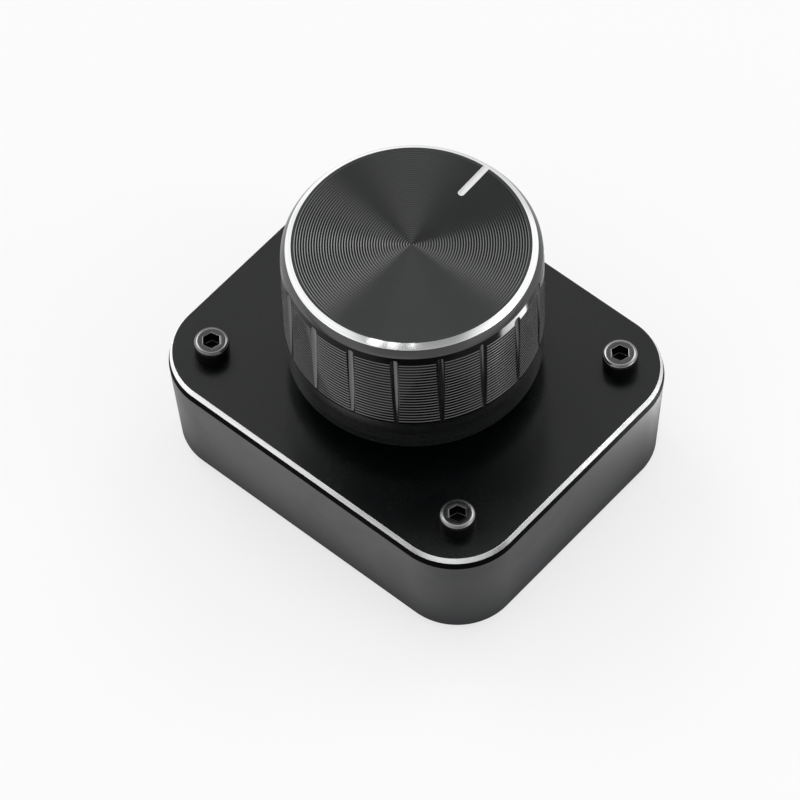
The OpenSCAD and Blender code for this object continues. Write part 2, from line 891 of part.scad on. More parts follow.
// Headless screw in the knob, its tip on the flat of the shaft
module set_screw() {
    color(black)
        rotate([0, 0, pointer_angle - 90])
            translate([0, set_screw_y, set_screw_z])
                rotate([-90, 0, 0])
                    difference() {
                        cylinder(h = set_screw_len, d = set_screw_d - 2 * thread_gap);
                        translate([0, 0, set_screw_len / 2])
                            hex_prism(set_screw_af, set_screw_len);
                    }
}

base_tray();
rubber_feet();
top_plate();
cap_screws();
circuit_board();
board_screws();
usb_shell();
usb_tongue();
usb_contacts();
controller_chip();
controller_leads();
clock_crystal();
voltage_regulator();
capacitors();
resistors();
encoder_base();
encoder_frame();
encoder_pins();
encoder_bushing();
detent_spring();
encoder_rotor();
wiper_brush();
switch_dome();
switch_plunger();
lock_washer();
mounting_nut();
encoder_shaft();
shaft_clip();
knob_body();
set_screw();
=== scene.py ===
"""Looks of a desk volume control: a black machined case, its screwed lid and one large turned knob.

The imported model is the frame. The outer pieces are modelled again here with finer edges and turned
detail, and every piece that stays gets a finish of its own. Sizes are in millimetres, as on a
drawing, and become metres where Blender is given them.
"""

from __future__ import annotations

import logging
import math
from collections.abc import Callable, Iterable
from dataclasses import dataclass, field
from enum import Enum

import bpy
from mathutils import Matrix, Vector


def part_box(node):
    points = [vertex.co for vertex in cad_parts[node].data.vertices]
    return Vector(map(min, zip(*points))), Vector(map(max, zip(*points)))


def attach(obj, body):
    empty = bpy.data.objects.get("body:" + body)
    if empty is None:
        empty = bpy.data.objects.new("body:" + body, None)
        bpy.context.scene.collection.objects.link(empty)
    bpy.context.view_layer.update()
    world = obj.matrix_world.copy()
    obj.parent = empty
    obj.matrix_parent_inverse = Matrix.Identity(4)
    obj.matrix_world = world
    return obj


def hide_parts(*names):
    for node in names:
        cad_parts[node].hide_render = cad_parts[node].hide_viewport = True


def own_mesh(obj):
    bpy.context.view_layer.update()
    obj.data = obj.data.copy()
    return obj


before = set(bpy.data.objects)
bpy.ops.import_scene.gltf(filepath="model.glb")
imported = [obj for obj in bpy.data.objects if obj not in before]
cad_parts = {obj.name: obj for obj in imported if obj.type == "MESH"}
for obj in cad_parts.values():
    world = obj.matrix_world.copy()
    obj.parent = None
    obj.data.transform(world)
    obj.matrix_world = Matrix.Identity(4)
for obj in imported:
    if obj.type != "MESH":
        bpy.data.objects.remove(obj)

LOG = logging.getLogger("volume_control")
Point = tuple[float, float]
Place = tuple[float, float, float]
Rgb = tuple[float, float, float]
Patch = tuple[float, float, float, float, float]

MM = 0.001
WHITE = (1.0, 1.0, 1.0, 1.0)
# How far a cutter reaches past the metal, and how close two heights are that count as one, in mm
CLEAR = 1.0
TOUCH = 0.001
# Degrees from one point of a rounded corner to the next
ROUND_STEP = 15
# Where the back right cap screw stands on the lid, in mm
SCREW_PLACE = (24.75, 19.1)
# Colour of dust, the span of a mark's tone, and the share of the roughness that the marks change
DUST = (0.55, 0.54, 0.52, 1.0)
TONE_SPAN = (0.3, 0.7)
GRAIN_SHARE = 0.3


class Marks(Enum):
    """The fine marks that a way of making leaves on a surface."""

    BLASTED = "blasted_marks"
    TURNED = "turned_marks"
    ROLLED = "rolled_marks"


class Body(Enum):
    """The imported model's bodies that new pieces ride on."""

    CASE = "case"
    KNOB = "knob"


class KnobSlot(Enum):
    """The finishes of the knob, by slot number."""

    TOP = 0
    RING = 1
    FLUTE = 2
    POINTER = 3
    SHOULDER = 4
    GROOVE = 5
    BAND = 6
    SKIRT = 7
    # Painted highlight on the outer slope of each ring on the top
    RIDGE = 8


class LidSlot(Enum):
    """The finishes of the lid, by slot number."""

    PLATE = 0
    BEVEL = 1
    # Painted shade in the joint under the bevel
    EDGE = 2


class ScrewSlot(Enum):
    """The finishes of a cap screw, by slot number."""

    OXIDE = 0
    WORN = 1
    # Painted shade in the socket and on the head's side
    SOCKET = 2
    RIM = 3


def quarter(step: int) -> list[float]:
    """List the angles of a quarter turn, both ends included, in radians from a step in degrees."""
    return [math.radians(degrees) for degrees in range(0, 91, step)]


# ---------------------------------------------------------------- modelling bench


class Bench:
    """Modelling moves shared by every piece, made with Blender's own operators.

    Attributes:
        MERGE_GAP: Gap in mm under which points are merged.
        CORNER_STRIPS, EDGE_STRIPS: Strips round a slab's corner, and round a bar's edge.
    """

    MERGE_GAP = 0.0002
    CORNER_STRIPS = 28
    EDGE_STRIPS = 12

    @staticmethod
    def clear() -> None:
        """Leave edit mode and deselect every object."""
        if bpy.context.object and bpy.context.object.mode != "OBJECT":
            bpy.ops.object.mode_set(mode="OBJECT")
        bpy.ops.object.select_all(action="DESELECT")

    @staticmethod
    def only(piece: bpy.types.Object) -> None:
        """Make one object the selected and active one."""
        Bench.clear()
        piece.select_set(True)
        bpy.context.view_layer.objects.active = piece

    @staticmethod
    def edit(piece: bpy.types.Object, kind: str = "FACE") -> None:
        """Open a piece in edit mode with nothing selected, for faces, edges or vertices."""
        Bench.only(piece)
        bpy.ops.object.mode_set(mode="EDIT")
        bpy.ops.mesh.select_mode(type=kind)
        bpy.ops.mesh.select_all(action="DESELECT")

    @staticmethod
    def done() -> None:
        """Go back to object mode."""
        bpy.ops.object.mode_set(mode="OBJECT")

    @staticmethod
    def named(name: str) -> bpy.types.Object:
        """Name the object that was just added, put its place in its mesh and return it."""
        piece = bpy.context.object
        bpy.ops.object.transform_apply(location=True, rotation=True, scale=True)
        piece.name = piece.data.name = name
        return piece

    @staticmethod
    def pick_faces(piece: bpy.types.Object, test: Callable[[Vector, Vector], bool]) -> int:
        """Select the faces of a piece in edit mode by their middle (in mm) and their normal.

        Args:
            piece: The piece, open in edit mode.
            test: Says of a face's middle and normal whether the face is wanted.

        Returns:
            How many faces were selected.
        """
        bpy.ops.object.mode_set(mode="OBJECT")
        count = 0
        for face in piece.data.polygons:
            face.select = test(face.center / MM, face.normal)
            count += face.select
        bpy.ops.object.mode_set(mode="EDIT")
        return count

    @staticmethod
    def pick_edges(piece: bpy.types.Object, test: Callable[[Vector, Vector], bool]) -> int:
        """Select the edges of a piece in edit mode by their two ends, in mm.

        Args:
            piece: The piece, open in edit mode.
            test: Says of an edge's two ends whether the edge is wanted.

        Returns:
            How many edges were selected.
        """
        bpy.ops.object.mode_set(mode="OBJECT")
        points = piece.data.vertices
        for face in piece.data.polygons:
            face.select = False
        for point in points:
            point.select = False
        count = 0
        for edge in piece.data.edges:
            a, b = (points[i].co / MM for i in edge.vertices)
            edge.select = test(a, b)
            if edge.select:
                count += 1
                for i in edge.vertices:
                    points[i].select = True
        bpy.ops.object.mode_set(mode="EDIT")
        return count

    @staticmethod
    def tidy(piece: bpy.types.Object) -> None:
        """Merge what coincides and turn every face outwards.

        Args:
            piece: The piece.
        """
        Bench.edit(piece, "VERT")
        bpy.ops.mesh.select_all(action="SELECT")
        bpy.ops.mesh.remove_doubles(threshold=Bench.MERGE_GAP * MM)
        bpy.ops.mesh.normals_make_consistent(inside=False)
        Bench.done()

    @staticmethod
    def turned(name: str, outline: list[Point], steps: int) -> bpy.types.Object:
        """Turn a solid about the Z axis from half its section.

        Args:
            name: Name of the piece.
            outline: Radius and height of each corner in mm, from axis to axis.
            steps: Number of steps round the axis.

        Returns:
            The turned solid.
        """
        Bench.clear()
        bpy.ops.mesh.primitive_plane_add(size=MM)
        piece = Bench.named(name)
        Bench.edit(piece, "VERT")
        bpy.ops.mesh.select_all(action="SELECT")
        bpy.ops.mesh.merge(type="CENTER")
        last = (0.0, 0.0)
        for number, (radius, height) in enumerate(outline):
            step = ((radius - last[0]) * MM, 0, (height - last[1]) * MM)
            if number:
                bpy.ops.mesh.extrude_region_move(TRANSFORM_OT_translate={"value": step})
            else:
                bpy.ops.transform.translate(value=step)
            last = (radius, height)
        bpy.ops.mesh.select_all(action="SELECT")
        bpy.ops.mesh.spin(steps=steps, angle=math.tau, center=(0, 0, 0), axis=(0, 0, 1))
        Bench.done()
        Bench.tidy(piece)
        return piece

    @staticmethod
    def rounded_slab(
        name: str, width: float, depth: float, radius: float, z: float, up: bool
    ) -> bpy.types.Object:
        """Lay a flat rectangle with round corners.

        Args:
            name: Name of the piece.
            width: Size along X in mm.
            depth: Size along Y in mm.
            radius: Radius of the corners in mm.
            z: Height in mm.
            up: Whether its face points up.

        Returns:
            A piece of one face.
        """
        Bench.clear()
        turn = (0, 0, 0) if up else (math.pi, 0, 0)
        bpy.ops.mesh.primitive_plane_add(size=MM, location=(0, 0, z * MM), rotation=turn)
        bpy.context.object.scale = (width, depth, 1)
        piece = Bench.named(name)
        Bench.edit(piece, "VERT")
        bpy.ops.mesh.select_all(action="SELECT")
        strips = Bench.CORNER_STRIPS
        bpy.ops.mesh.bevel(offset=radius * MM, segments=strips, affect="VERTICES", profile=0.5)
        Bench.done()
        return piece

    @staticmethod
    def bar(name: str, size: Place, middle: Place, edge: float) -> bpy.types.Object:
        """Cut a bar along Y whose four long edges are rounded.

        Args:
            name: Name of the piece.
            size: Its three sizes in mm.
            middle: Its middle in mm.
            edge: Radius of the long edges in mm.

        Returns:
            The bar.
        """
        Bench.clear()
        bpy.ops.mesh.primitive_cube_add(size=MM, location=Vector(middle) * MM)
        bpy.context.object.scale = size
        piece = Bench.named(name)
        Bench.edit(piece, "EDGE")
        Bench.pick_edges(piece, lambda a, b: abs(a.y - b.y) > size[1] / 2)
        strips = Bench.EDGE_STRIPS
        bpy.ops.mesh.bevel(offset=edge * MM, segments=strips, affect="EDGES", clamp_overlap=True)
        Bench.done()
        Bench.tidy(piece)
        return piece

    @staticmethod
    def rod(name: str, radius: float, foot: Place, height: float, sides: int = 64) -> bpy.types.Object:
        """Cut an upright round rod, or a hexagon with six sides.

        Args:
            name: Name of the piece.
            radius: Its radius in mm, over the corners where it has few sides.
            foot: The middle of its lower end in mm.
            height: Its height in mm.
            sides: Number of sides.

        Returns:
            The rod.
        """
        Bench.clear()
        place = Vector((foot[0], foot[1], foot[2] + height / 2)) * MM
        size = {"radius": radius * MM, "depth": height * MM}
        bpy.ops.mesh.primitive_cylinder_add(vertices=sides, location=place, **size)
        return Bench.named(name)

    @staticmethod
    def copy(piece: bpy.types.Object, name: str, move: Matrix) -> bpy.types.Object:
        """Copy a piece with a mesh of its own.

        Args:
            piece: The piece that is copied.
            name: Name of the copy.
            move: The matrix, in metres, that moves the copy's mesh.

        Returns:
            The copy.
        """
        twin = piece.copy()
        twin.data = piece.data.copy()
        twin.name = twin.data.name = name
        bpy.context.scene.collection.objects.link(twin)
        twin.data.transform(move)
        return twin

    @staticmethod
    def join(pieces: Iterable[bpy.types.Object]) -> bpy.types.Object:
        """Join several meshes.

        Args:
            pieces: The pieces that are joined.

        Returns:
            The first of them, which holds them all.
        """
        pieces = list(pieces)
        Bench.only(pieces[0])
        for piece in pieces[1:]:
            piece.select_set(True)
        bpy.ops.object.join()
        return pieces[0]

    @staticmethod
    def combine(piece: bpy.types.Object, tool: bpy.types.Object, how: str = "DIFFERENCE") -> None:
        """Cut a tool out of a piece, or join the two, and put the tool away.

        Args:
            piece: The piece that stays.
            tool: The shape that is cut out or added. Its finishes go by slot number.
            how: DIFFERENCE or UNION.
        """
        Bench.only(piece)
        cut = piece.modifiers.new("combine", "BOOLEAN")
        cut.operation = how
        cut.object = tool
        cut.solver = "EXACT"
        cut.material_mode = "INDEX"
        bpy.ops.object.modifier_apply(modifier=cut.name)
        bpy.data.objects.remove(tool)

    @staticmethod
    def break_edges(
        piece: bpy.types.Object, width: float, segments: int = 2, angle: float = 25.0, slot: int = -1
    ) -> None:
        """Take the sharpness off a piece's edges.

        Args:
            piece: The piece.
            width: Width of the broken edge in mm.
            segments: Number of strips across it.
            angle: Only edges that turn by more than this, in degrees.
            slot: Finish of the new strips, or -1 for that of their neighbours.
        """
        Bench.only(piece)
        soft = piece.modifiers.new("broken_edge", "BEVEL")
        soft.width = width * MM
        soft.segments = segments
        soft.limit_method = "ANGLE"
        soft.angle_limit = math.radians(angle)
        soft.use_clamp_overlap = True
        soft.material = slot
        bpy.ops.object.modifier_apply(modifier=soft.name)

    @staticmethod
    def smooth(piece: bpy.types.Object, angle: float = 30.0, weighted: bool = False) -> None:
        """Shade a piece smooth but for its sharp edges.

        Args:
            piece: The piece.
            angle: Edges that turn by more than this, in degrees, stay sharp.
            weighted: Whether its flats are kept flat.
        """
        Bench.only(piece)
        bpy.ops.object.shade_smooth_by_angle(angle=math.radians(angle))
        if weighted:
            level = piece.modifiers.new("flat_faces", "WEIGHTED_NORMAL")
            level.keep_sharp = True
            bpy.ops.object.modifier_apply(modifier=level.name)

    @staticmethod
    def finish_faces(piece: bpy.types.Object, slot: int, test: Callable[[Vector, Vector], bool]) -> int:
        """Give the wanted faces the finish in a slot.

        Args:
            piece: The piece.
            slot: Number of the finish.
            test: Says of a face's middle (in mm) and normal whether the face is wanted.

        Returns:
            How many faces were finished.
        """
        Bench.edit(piece, "FACE")
        count = Bench.pick_faces(piece, test)
        piece.active_material_index = slot
        bpy.ops.object.material_slot_assign()
        Bench.done()
        return count


# ---------------------------------------------------------------- finishes


class Sheet:
    """A node tree with short calls to add and join its nodes."""

    def __init__(self, tree: bpy.types.NodeTree) -> None:
        """Start with an empty tree."""
        self.tree = tree
        tree.nodes.clear()

    def add(self, kind: str, settings: dict | None = None, **inputs: object) -> bpy.types.Node:
        """Add a node.

        Args:
            kind: Blender's name of the node's type.
            settings: Properties of the node itself.
            inputs: Values or outputs for its inputs, by name with spaces as underscores, or by
                number after a letter n.

        Returns:
            The node.
        """
        node = self.tree.nodes.new(kind)
        for name, value in (settings or {}).items():
            setattr(node, name, value)
        for name, value in inputs.items():
            key = int(name[1:]) if name[0] == "n" and name[1:].isdigit() else name.replace("_", " ")
            self.give(node.inputs[key], value)
        return node

    def give(self, socket: bpy.types.NodeSocket, value: object) -> None:
        """Give a socket a value, or join an output to it."""
        if isinstance(value, bpy.types.NodeSocket):
            self.tree.links.new(value, socket)
        else:
            socket.default_value = value

    def maths(self, operation: str, *values: object) -> bpy.types.NodeSocket:
        """Work out one number from others and return it as an output."""
        node = self.add("ShaderNodeMath", {"operation": operation})
        for socket, value in zip(node.inputs, values):
            self.give(socket, value)
        return node.outputs[0]

    def vector(self, operation: str, *values: object) -> bpy.types.NodeSocket:
        """Work out one vector, or its length, from others and return it as an output."""
        node = self.add("ShaderNodeVectorMath", {"operation": operation})
        for socket, value in zip(node.inputs, values):
            self.give(socket, value)
        return node.outputs["Value"] if operation in ("LENGTH", "DOT_PRODUCT") else node.outputs[0]

    def mixed(self, one: object, two: object, share: float) -> bpy.types.NodeSocket:
        """Mix two numbers, with the second's share from 0 to 1."""
        return self.maths("ADD", self.maths("MULTIPLY", one, 1.0 - share), self.maths("MULTIPLY", two, share))

    def noise(
        self, place: object, size: object, detail: float, roughness: float = 0.5, warp: float = 0.0
    ) -> bpy.types.NodeSocket:
        """Add an even noise.

        Args:
            place: Where it is read.
            size: Its marks in a metre.
            detail: How many finer layers it has.
            roughness: How strong the finer layers are.
            warp: How far it is drawn out of shape.

        Returns:
            A value from 0 to 1.
        """
        given = {"Vector": place, "Scale": size, "Detail": detail, "Roughness": roughness, "Distortion": warp}
        return self.add("ShaderNodeTexNoise", None, **given).outputs[0]

    def ramp(
        self, value: object, span: Point, reach: tuple[object, object] = (0.0, 1.0), soft: bool = True
    ) -> bpy.types.NodeSocket:
        """Carry a value from one span over to another.

        Args:
            value: The value.
            span: Its own span.
            reach: What the span's two ends become.
            soft: Whether it eases in and out, or else runs straight.

        Returns:
            The new value.
        """
        settings = {"interpolation_type": "SMOOTHSTEP" if soft else "LINEAR"}
        ends = {"n1": span[0], "n2": span[1], "n3": reach[0], "n4": reach[1]}
        return self.add("ShaderNodeMapRange", settings, Value=value, **ends).outputs[0]


class Effects:
    """Effects that several finishes use, each a node group built once."""

    MARK_INPUTS = {"Place": (0.0, 0.0, 0.0), "Size": 8000.0, "Centre": (0.0, 0.0, 0.0)}
    MARK_OUTPUTS = ("Height", "Tone")

    @staticmethod
    def group(
        name: str, inputs: dict[str, float | tuple], outputs: tuple[str, ...]
    ) -> tuple[Sheet, dict[str, bpy.types.NodeSocket]]:
        """Start a node group.

        Args:
            name: Name of the group.
            inputs: Each input's name and first value. A tuple makes it a vector.
            outputs: Names of the outputs, all numbers.

        Returns:
            The group's sheet, and its inputs by name.
        """
        tree = bpy.data.node_groups.new(name, "ShaderNodeTree")
        sheet = Sheet(tree)
        for label, value in inputs.items():
            kind = "NodeSocketVector" if isinstance(value, tuple) else "NodeSocketFloat"
            socket = tree.interface.new_socket(label, in_out="INPUT", socket_type=kind)
            socket.default_value = value
        for label in outputs:
            tree.interface.new_socket(label, in_out="OUTPUT", socket_type="NodeSocketFloat")
        start = sheet.add("NodeGroupInput")
        return sheet, {label: start.outputs[label] for label in inputs}

    @staticmethod
    def close(sheet: Sheet, **outputs: bpy.types.NodeSocket) -> bpy.types.NodeTree:
        """Join a group's outputs by name and return its tree."""
        end = sheet.add("NodeGroupOutput")
        for label, value in outputs.items():
            sheet.give(end.inputs[label], value)
        return sheet.tree

    @staticmethod
    def blasted() -> bpy.types.NodeTree:
        """Build the fine pits that bead blasting, moulding or etching leaves.

        Returns:
            The group.
        """
        sheet, given = Effects.group(Marks.BLASTED.value, Effects.MARK_INPUTS, Effects.MARK_OUTPUTS)
        pits = sheet.noise(given["Place"], given["Size"], detail=2.0, roughness=0.6)
        coarse = sheet.maths("MULTIPLY", given["Size"], 0.07)
        cloud = sheet.noise(given["Place"], coarse, detail=3.0, roughness=0.55)
        return Effects.close(sheet, Height=pits, Tone=sheet.mixed(pits, cloud, 0.4))

    @staticmethod
    def turned() -> bpy.types.NodeTree:
        """Build the rings that a lathe leaves round an upright axis, the same about four mirrored axes.

        Returns:
            The group.
        """
        sheet, given = Effects.group(Marks.TURNED.value, Effects.MARK_INPUTS, Effects.MARK_OUTPUTS)
        shifted = sheet.vector("SUBTRACT", sheet.vector("ABSOLUTE", given["Place"]), given["Centre"])
        radius = sheet.vector("LENGTH", sheet.vector("MULTIPLY", shifted, (1.0, 1.0, 0.0)))
        height = sheet.add("ShaderNodeSeparateXYZ", None, Vector=given["Place"]).outputs["Z"]
        ring = sheet.add("ShaderNodeCombineXYZ", None, X=radius, Y=height).outputs[0]
        # A little of the place itself breaks the rings, so that none closes perfectly
        loose = sheet.vector("MULTIPLY_ADD", given["Place"], (0.02, 0.02, 0.02), ring)
        fine = sheet.noise(loose, given["Size"], detail=2.0, roughness=0.7)
        broad = sheet.noise(loose, sheet.maths("MULTIPLY", given["Size"], 0.16), detail=2.0)
        return Effects.close(sheet, Height=sheet.mixed(fine, broad, 0.5), Tone=broad)

    @staticmethod
    def rolled() -> bpy.types.NodeTree:
        """Build the long fine lines along X that rolling, drawing or grinding leaves.

        Returns:
            The group.
        """
        sheet, given = Effects.group(Marks.ROLLED.value, Effects.MARK_INPUTS, Effects.MARK_OUTPUTS)
        drawn = sheet.vector("MULTIPLY", given["Place"], (0.04, 1.0, 1.0))
        lines = sheet.noise(drawn, given["Size"], detail=3.0, roughness=0.6)
        broad = sheet.noise(drawn, sheet.maths("MULTIPLY", given["Size"], 0.2), detail=2.0)
        return Effects.close(sheet, Height=lines, Tone=broad)

    @staticmethod
    def handling() -> bpy.types.NodeTree:
        """Build the soft smears and the specks of dust that handling leaves.

        Returns:
            The group.
        """
        inputs = {"Place": (0.0, 0.0, 0.0), "Speck": 2600.0}
        sheet, given = Effects.group("handling", inputs, ("Smear", "Dust"))
        streaks = sheet.noise(given["Place"], 110.0, detail=4.0, roughness=0.6, warp=0.6)
        patches = sheet.noise(given["Place"], 34.0, detail=2.0)
        wiped = sheet.maths("MULTIPLY", streaks, sheet.maths("ADD", patches, 0.5))
        specks = sheet.add("ShaderNodeTexVoronoi", None, Vector=given["Place"], Scale=given["Speck"])
        dust = sheet.ramp(specks.outputs["Distance"], (0.10, 0.04), soft=False)
        return Effects.close(sheet, Smear=sheet.ramp(wiped, (0.38, 0.68)), Dust=dust)

    @staticmethod
    def tree(name: str) -> bpy.types.NodeTree:
        """Give a group, which is built the first time it is asked for.

        Args:
            name: Name of the group.

        Returns:
            The group.
        """
        makers = {
            Marks.BLASTED.value: Effects.blasted,
            Marks.TURNED.value: Effects.turned,
            Marks.ROLLED.value: Effects.rolled,
            "handling": Effects.handling,
        }
        return bpy.data.node_groups.get(name) or makers[name]()


@dataclass(frozen=True)
class Finish:
    """One surface finish.

    Attributes:
        name: Name of the material.
        colour: Its colour, linear red, green and blue.
        roughness: How dull it is.
        marks: The marks that its making left.
        mark_size: Marks in a metre.
        mark_depth: Depth of the marks in mm.
        tone: How much the marks change its colour, from 0 to 1.
        metallic: 1 for bare metal.
        ior: Index of refraction of its skin.
        smear: How much handling changes its gloss.
        dust: How pale the specks of dust are.
        centre: Axis of turned marks in mm, mirrored to all four quarters.
        coat: Clear coat from 0 to 1.
    """

    name: str
    colour: Rgb
    roughness: float
    marks: Marks = Marks.BLASTED
    mark_size: float = 8000.0
    mark_depth: float = 0.004
    tone: float = 0.15
    metallic: float = 0.0
    ior: float = 1.5
    smear: float = 0.05
    dust: float = 0.0
    centre: Point = (0.0, 0.0)
    coat: float = 0.0

    def material(self) -> bpy.types.Material:
        """Return the material, building it the first time it is asked for."""
        return bpy.data.materials.get(self.name) or self.build()

    def build(self) -> bpy.types.Material:
        """Build the material from its marks, its handling and its colour.

        Returns:
            The material.
        """
        material = bpy.data.materials.new(self.name)
        material.use_nodes = True
        material.diffuse_color = (*self.colour, 1.0)
        sheet = Sheet(material.node_tree)
        place = sheet.add("ShaderNodeTexCoord").outputs["Object"]
        own_marks = {"node_tree": Effects.tree(self.marks.value)}
        marks = sheet.add("ShaderNodeGroup", own_marks, Place=place, Size=self.mark_size)
        marks.inputs["Centre"].default_value = (self.centre[0] * MM, self.centre[1] * MM, 0.0)
        handled = sheet.add("ShaderNodeGroup", {"node_tree": Effects.tree("handling")}, Place=place)
        shader = sheet.add("ShaderNodeBsdfPrincipled", None, Metallic=self.metallic, IOR=self.ior)
        shader.inputs["Coat Weight"].default_value = self.coat
        colour = self.tinted(sheet, marks.outputs["Tone"], handled.outputs["Dust"])
        sheet.give(shader.inputs["Base Color"], colour)
        dullest = min(1.0, self.roughness + self.smear)
        gloss = sheet.ramp(handled.outputs["Smear"], (0.0, 1.0), (self.roughness, dullest), soft=False)
        uneven = sheet.maths("SUBTRACT", marks.outputs["Tone"], 0.5)
        grain = sheet.maths("MULTIPLY", uneven, self.roughness * GRAIN_SHARE)
        sheet.give(shader.inputs["Roughness"], sheet.maths("ADD", gloss, grain))
        depth = self.mark_depth * MM
        bump = sheet.add("ShaderNodeBump", None, Strength=1.0, Distance=depth, Height=marks.outputs["Height"])
        sheet.give(shader.inputs["Normal"], bump.outputs[0])
        end = sheet.add("ShaderNodeOutputMaterial")
        sheet.give(end.inputs["Surface"], shader.outputs[0])
        return material

    def tinted(
        self, sheet: Sheet, tone: bpy.types.NodeSocket, dust: bpy.types.NodeSocket
    ) -> bpy.types.NodeSocket:
        """Vary the colour with the marks and scatter dust over it.

        Args:
            sheet: The material's nodes.
            tone: Where the marks lie, from 0 to 1.
            dust: Where the specks lie, from 0 to 1.

        Returns:
            The colour as an output.
        """
        low = tuple(max(0.0, c * (1 - self.tone)) for c in self.colour)
        high = tuple(min(1.0, c * (1 + self.tone)) for c in self.colour)
        spread = sheet.ramp(tone, TONE_SPAN, soft=False)
        mixed = sheet.add("ShaderNodeMix", {"data_type": "RGBA"}, n0=spread, n6=(*low, 1.0), n7=(*high, 1.0))
        seen = sheet.maths("MULTIPLY", dust, self.dust)
        dusty = sheet.add("ShaderNodeMix", {"data_type": "RGBA"}, n0=seen, n6=mixed.outputs[2], n7=DUST)
        return dusty.outputs[2]


KNOB_BLACK = Finish(
    "turned_black", (0.0022, 0.0036, 0.0036), roughness=0.09, marks=Marks.TURNED, mark_size=9000.0,
    mark_depth=0.0003, tone=0.25, smear=0.04,
)
# Painted highlight: a paler, more reflective copy of the turned black for the outer slope of each ring on the
# top. The rings show as thin bright lines, partly from their real slopes and partly from this painted
# highlight.
RIDGE_HIGHLIGHT_BLACK = Finish(
    "ridge_painted_highlight", (0.006, 0.0061, 0.0064), roughness=0.11, marks=Marks.TURNED, mark_size=9000.0,
    mark_depth=0.0003, tone=0.25, ior=1.72, smear=0.04,
)
# Lit and shaded copies of the knob's one turned black: the shoulder and groove copies reflect more, as
# painted light on faces turned upwards, and the band copy reflects almost nothing, as painted shade on
# upright faces.
SHOULDER_LIT_BLACK = Finish(
    "shoulder_painted_light", (0.004, 0.0041, 0.0044), roughness=0.2, marks=Marks.TURNED, mark_size=9000.0,
    mark_depth=0.0012, tone=0.25, ior=1.8, smear=0.04,
)
GROOVE_LIT_BLACK = Finish(
    "groove_painted_light", (0.006, 0.0061, 0.0064), roughness=0.16, marks=Marks.TURNED, mark_size=9000.0,
    mark_depth=0.0003, tone=0.25, ior=2.4, smear=0.04,
)
BAND_SHADED_BLACK = Finish(
    "band_painted_shade", (0.002, 0.0021, 0.0023), roughness=0.1, marks=Marks.TURNED, mark_size=9000.0,
    mark_depth=0.001, tone=0.25, ior=1.13, smear=0.03,
)
SKIRT_BLACK = Finish(
    "skirt_black", (0.006, 0.0064, 0.0066), roughness=0.26, marks=Marks.TURNED, mark_size=6000.0,
    mark_depth=0.003, tone=0.5, ior=1.45, smear=0.1, dust=0.05,
)
FLUTE_BLACK = Finish(
    "milled_black", (0.006, 0.0061, 0.0064), roughness=0.12, mark_size=9000.0, mark_depth=0.0012,
    tone=0.25, ior=1.75, smear=0.03,
)
CUT_RING = Finish(
    "cut_ring", (0.88, 0.885, 0.89), roughness=0.13, marks=Marks.TURNED, mark_size=9000.0,
    mark_depth=0.005, tone=0.12, metallic=1.0, smear=0.1,
)
CUT_BEVEL = Finish(
    "cut_bevel", (0.86, 0.865, 0.87), roughness=0.2, marks=Marks.ROLLED, mark_size=9000.0,
    mark_depth=0.003, tone=0.06, metallic=1.0, smear=0.06,
)
CUT_SLOT = Finish(
    "cut_slot", (0.76, 0.76, 0.76), roughness=0.34, mark_size=7000.0, mark_depth=0.003, tone=0.05,
    metallic=1.0, smear=0.06,
)
PLATE_BLACK = Finish(
    "satin_black", (0.0006, 0.0012, 0.0014), roughness=0.25, mark_size=7000.0, mark_depth=0.0012,
    tone=0.3, ior=1.46, smear=0.03,
)
# Painted shade: a near-black finish that reflects almost nothing, for the lid's upright edge under the bevel.
# It stands in for the shadow in the joint between lid and case.
EDGE_SHADE_BLACK = Finish(
    "edge_painted_shade", (0.0015, 0.0015, 0.0017), roughness=0.6, marks=Marks.ROLLED, mark_size=7000.0,
    mark_depth=0.002, tone=0.3, ior=1.08, smear=0.03,
)
CASE_BLACK = Finish(
    "blasted_black", (0.0102, 0.0112, 0.0135), roughness=0.4, mark_size=5200.0, mark_depth=0.006,
    tone=0.2, smear=0.04,
)
SCREW_BLACK = Finish(
    "black_oxide", (0.085, 0.085, 0.088), roughness=0.24, marks=Marks.TURNED, mark_size=7000.0,
    mark_depth=0.003, tone=0.2, metallic=1.0, smear=0.08, centre=SCREW_PLACE,
)
# Painted shade: a near-black, barely reflecting finish for the hex socket's walls and the head's upright
# side. It darkens them where shade falls.
SOCKET_SHADE_BLACK = Finish(
    "socket_painted_shade", (0.003, 0.003, 0.0032), roughness=0.35, mark_size=7000.0, mark_depth=0.003,
    tone=0.3, ior=1.2, smear=0.08,
)
SCREW_RIM = Finish(
    "rubbed_oxide", (0.24, 0.24, 0.245), roughness=0.2, marks=Marks.TURNED, mark_size=7000.0,
    mark_depth=0.003, tone=0.25, metallic=1.0, smear=0.08, centre=SCREW_PLACE,
)
WORN_STEEL = Finish(
    "worn_steel", (0.4, 0.4, 0.41), roughness=0.24, marks=Marks.TURNED, mark_size=7000.0,
    mark_depth=0.003, tone=0.25, metallic=1.0, smear=0.1, centre=SCREW_PLACE,
)
RUBBER = Finish(
    "rubber", (0.022, 0.022, 0.023), roughness=0.72, mark_size=3200.0, mark_depth=0.012, tone=0.25,
    smear=0.1, dust=0.4,
)
ZINC = Finish(
    "zinc_plate", (0.66, 0.67, 0.7), roughness=0.3, marks=Marks.ROLLED, mark_size=6000.0,
    mark_depth=0.002, tone=0.12, metallic=1.0, smear=0.12,
)
TURNED_ZINC = Finish(
    "turned_zinc", (0.66, 0.67, 0.7), roughness=0.26, marks=Marks.TURNED, mark_size=7000.0,
    mark_depth=0.003, tone=0.12, metallic=1.0, smear=0.1,
)
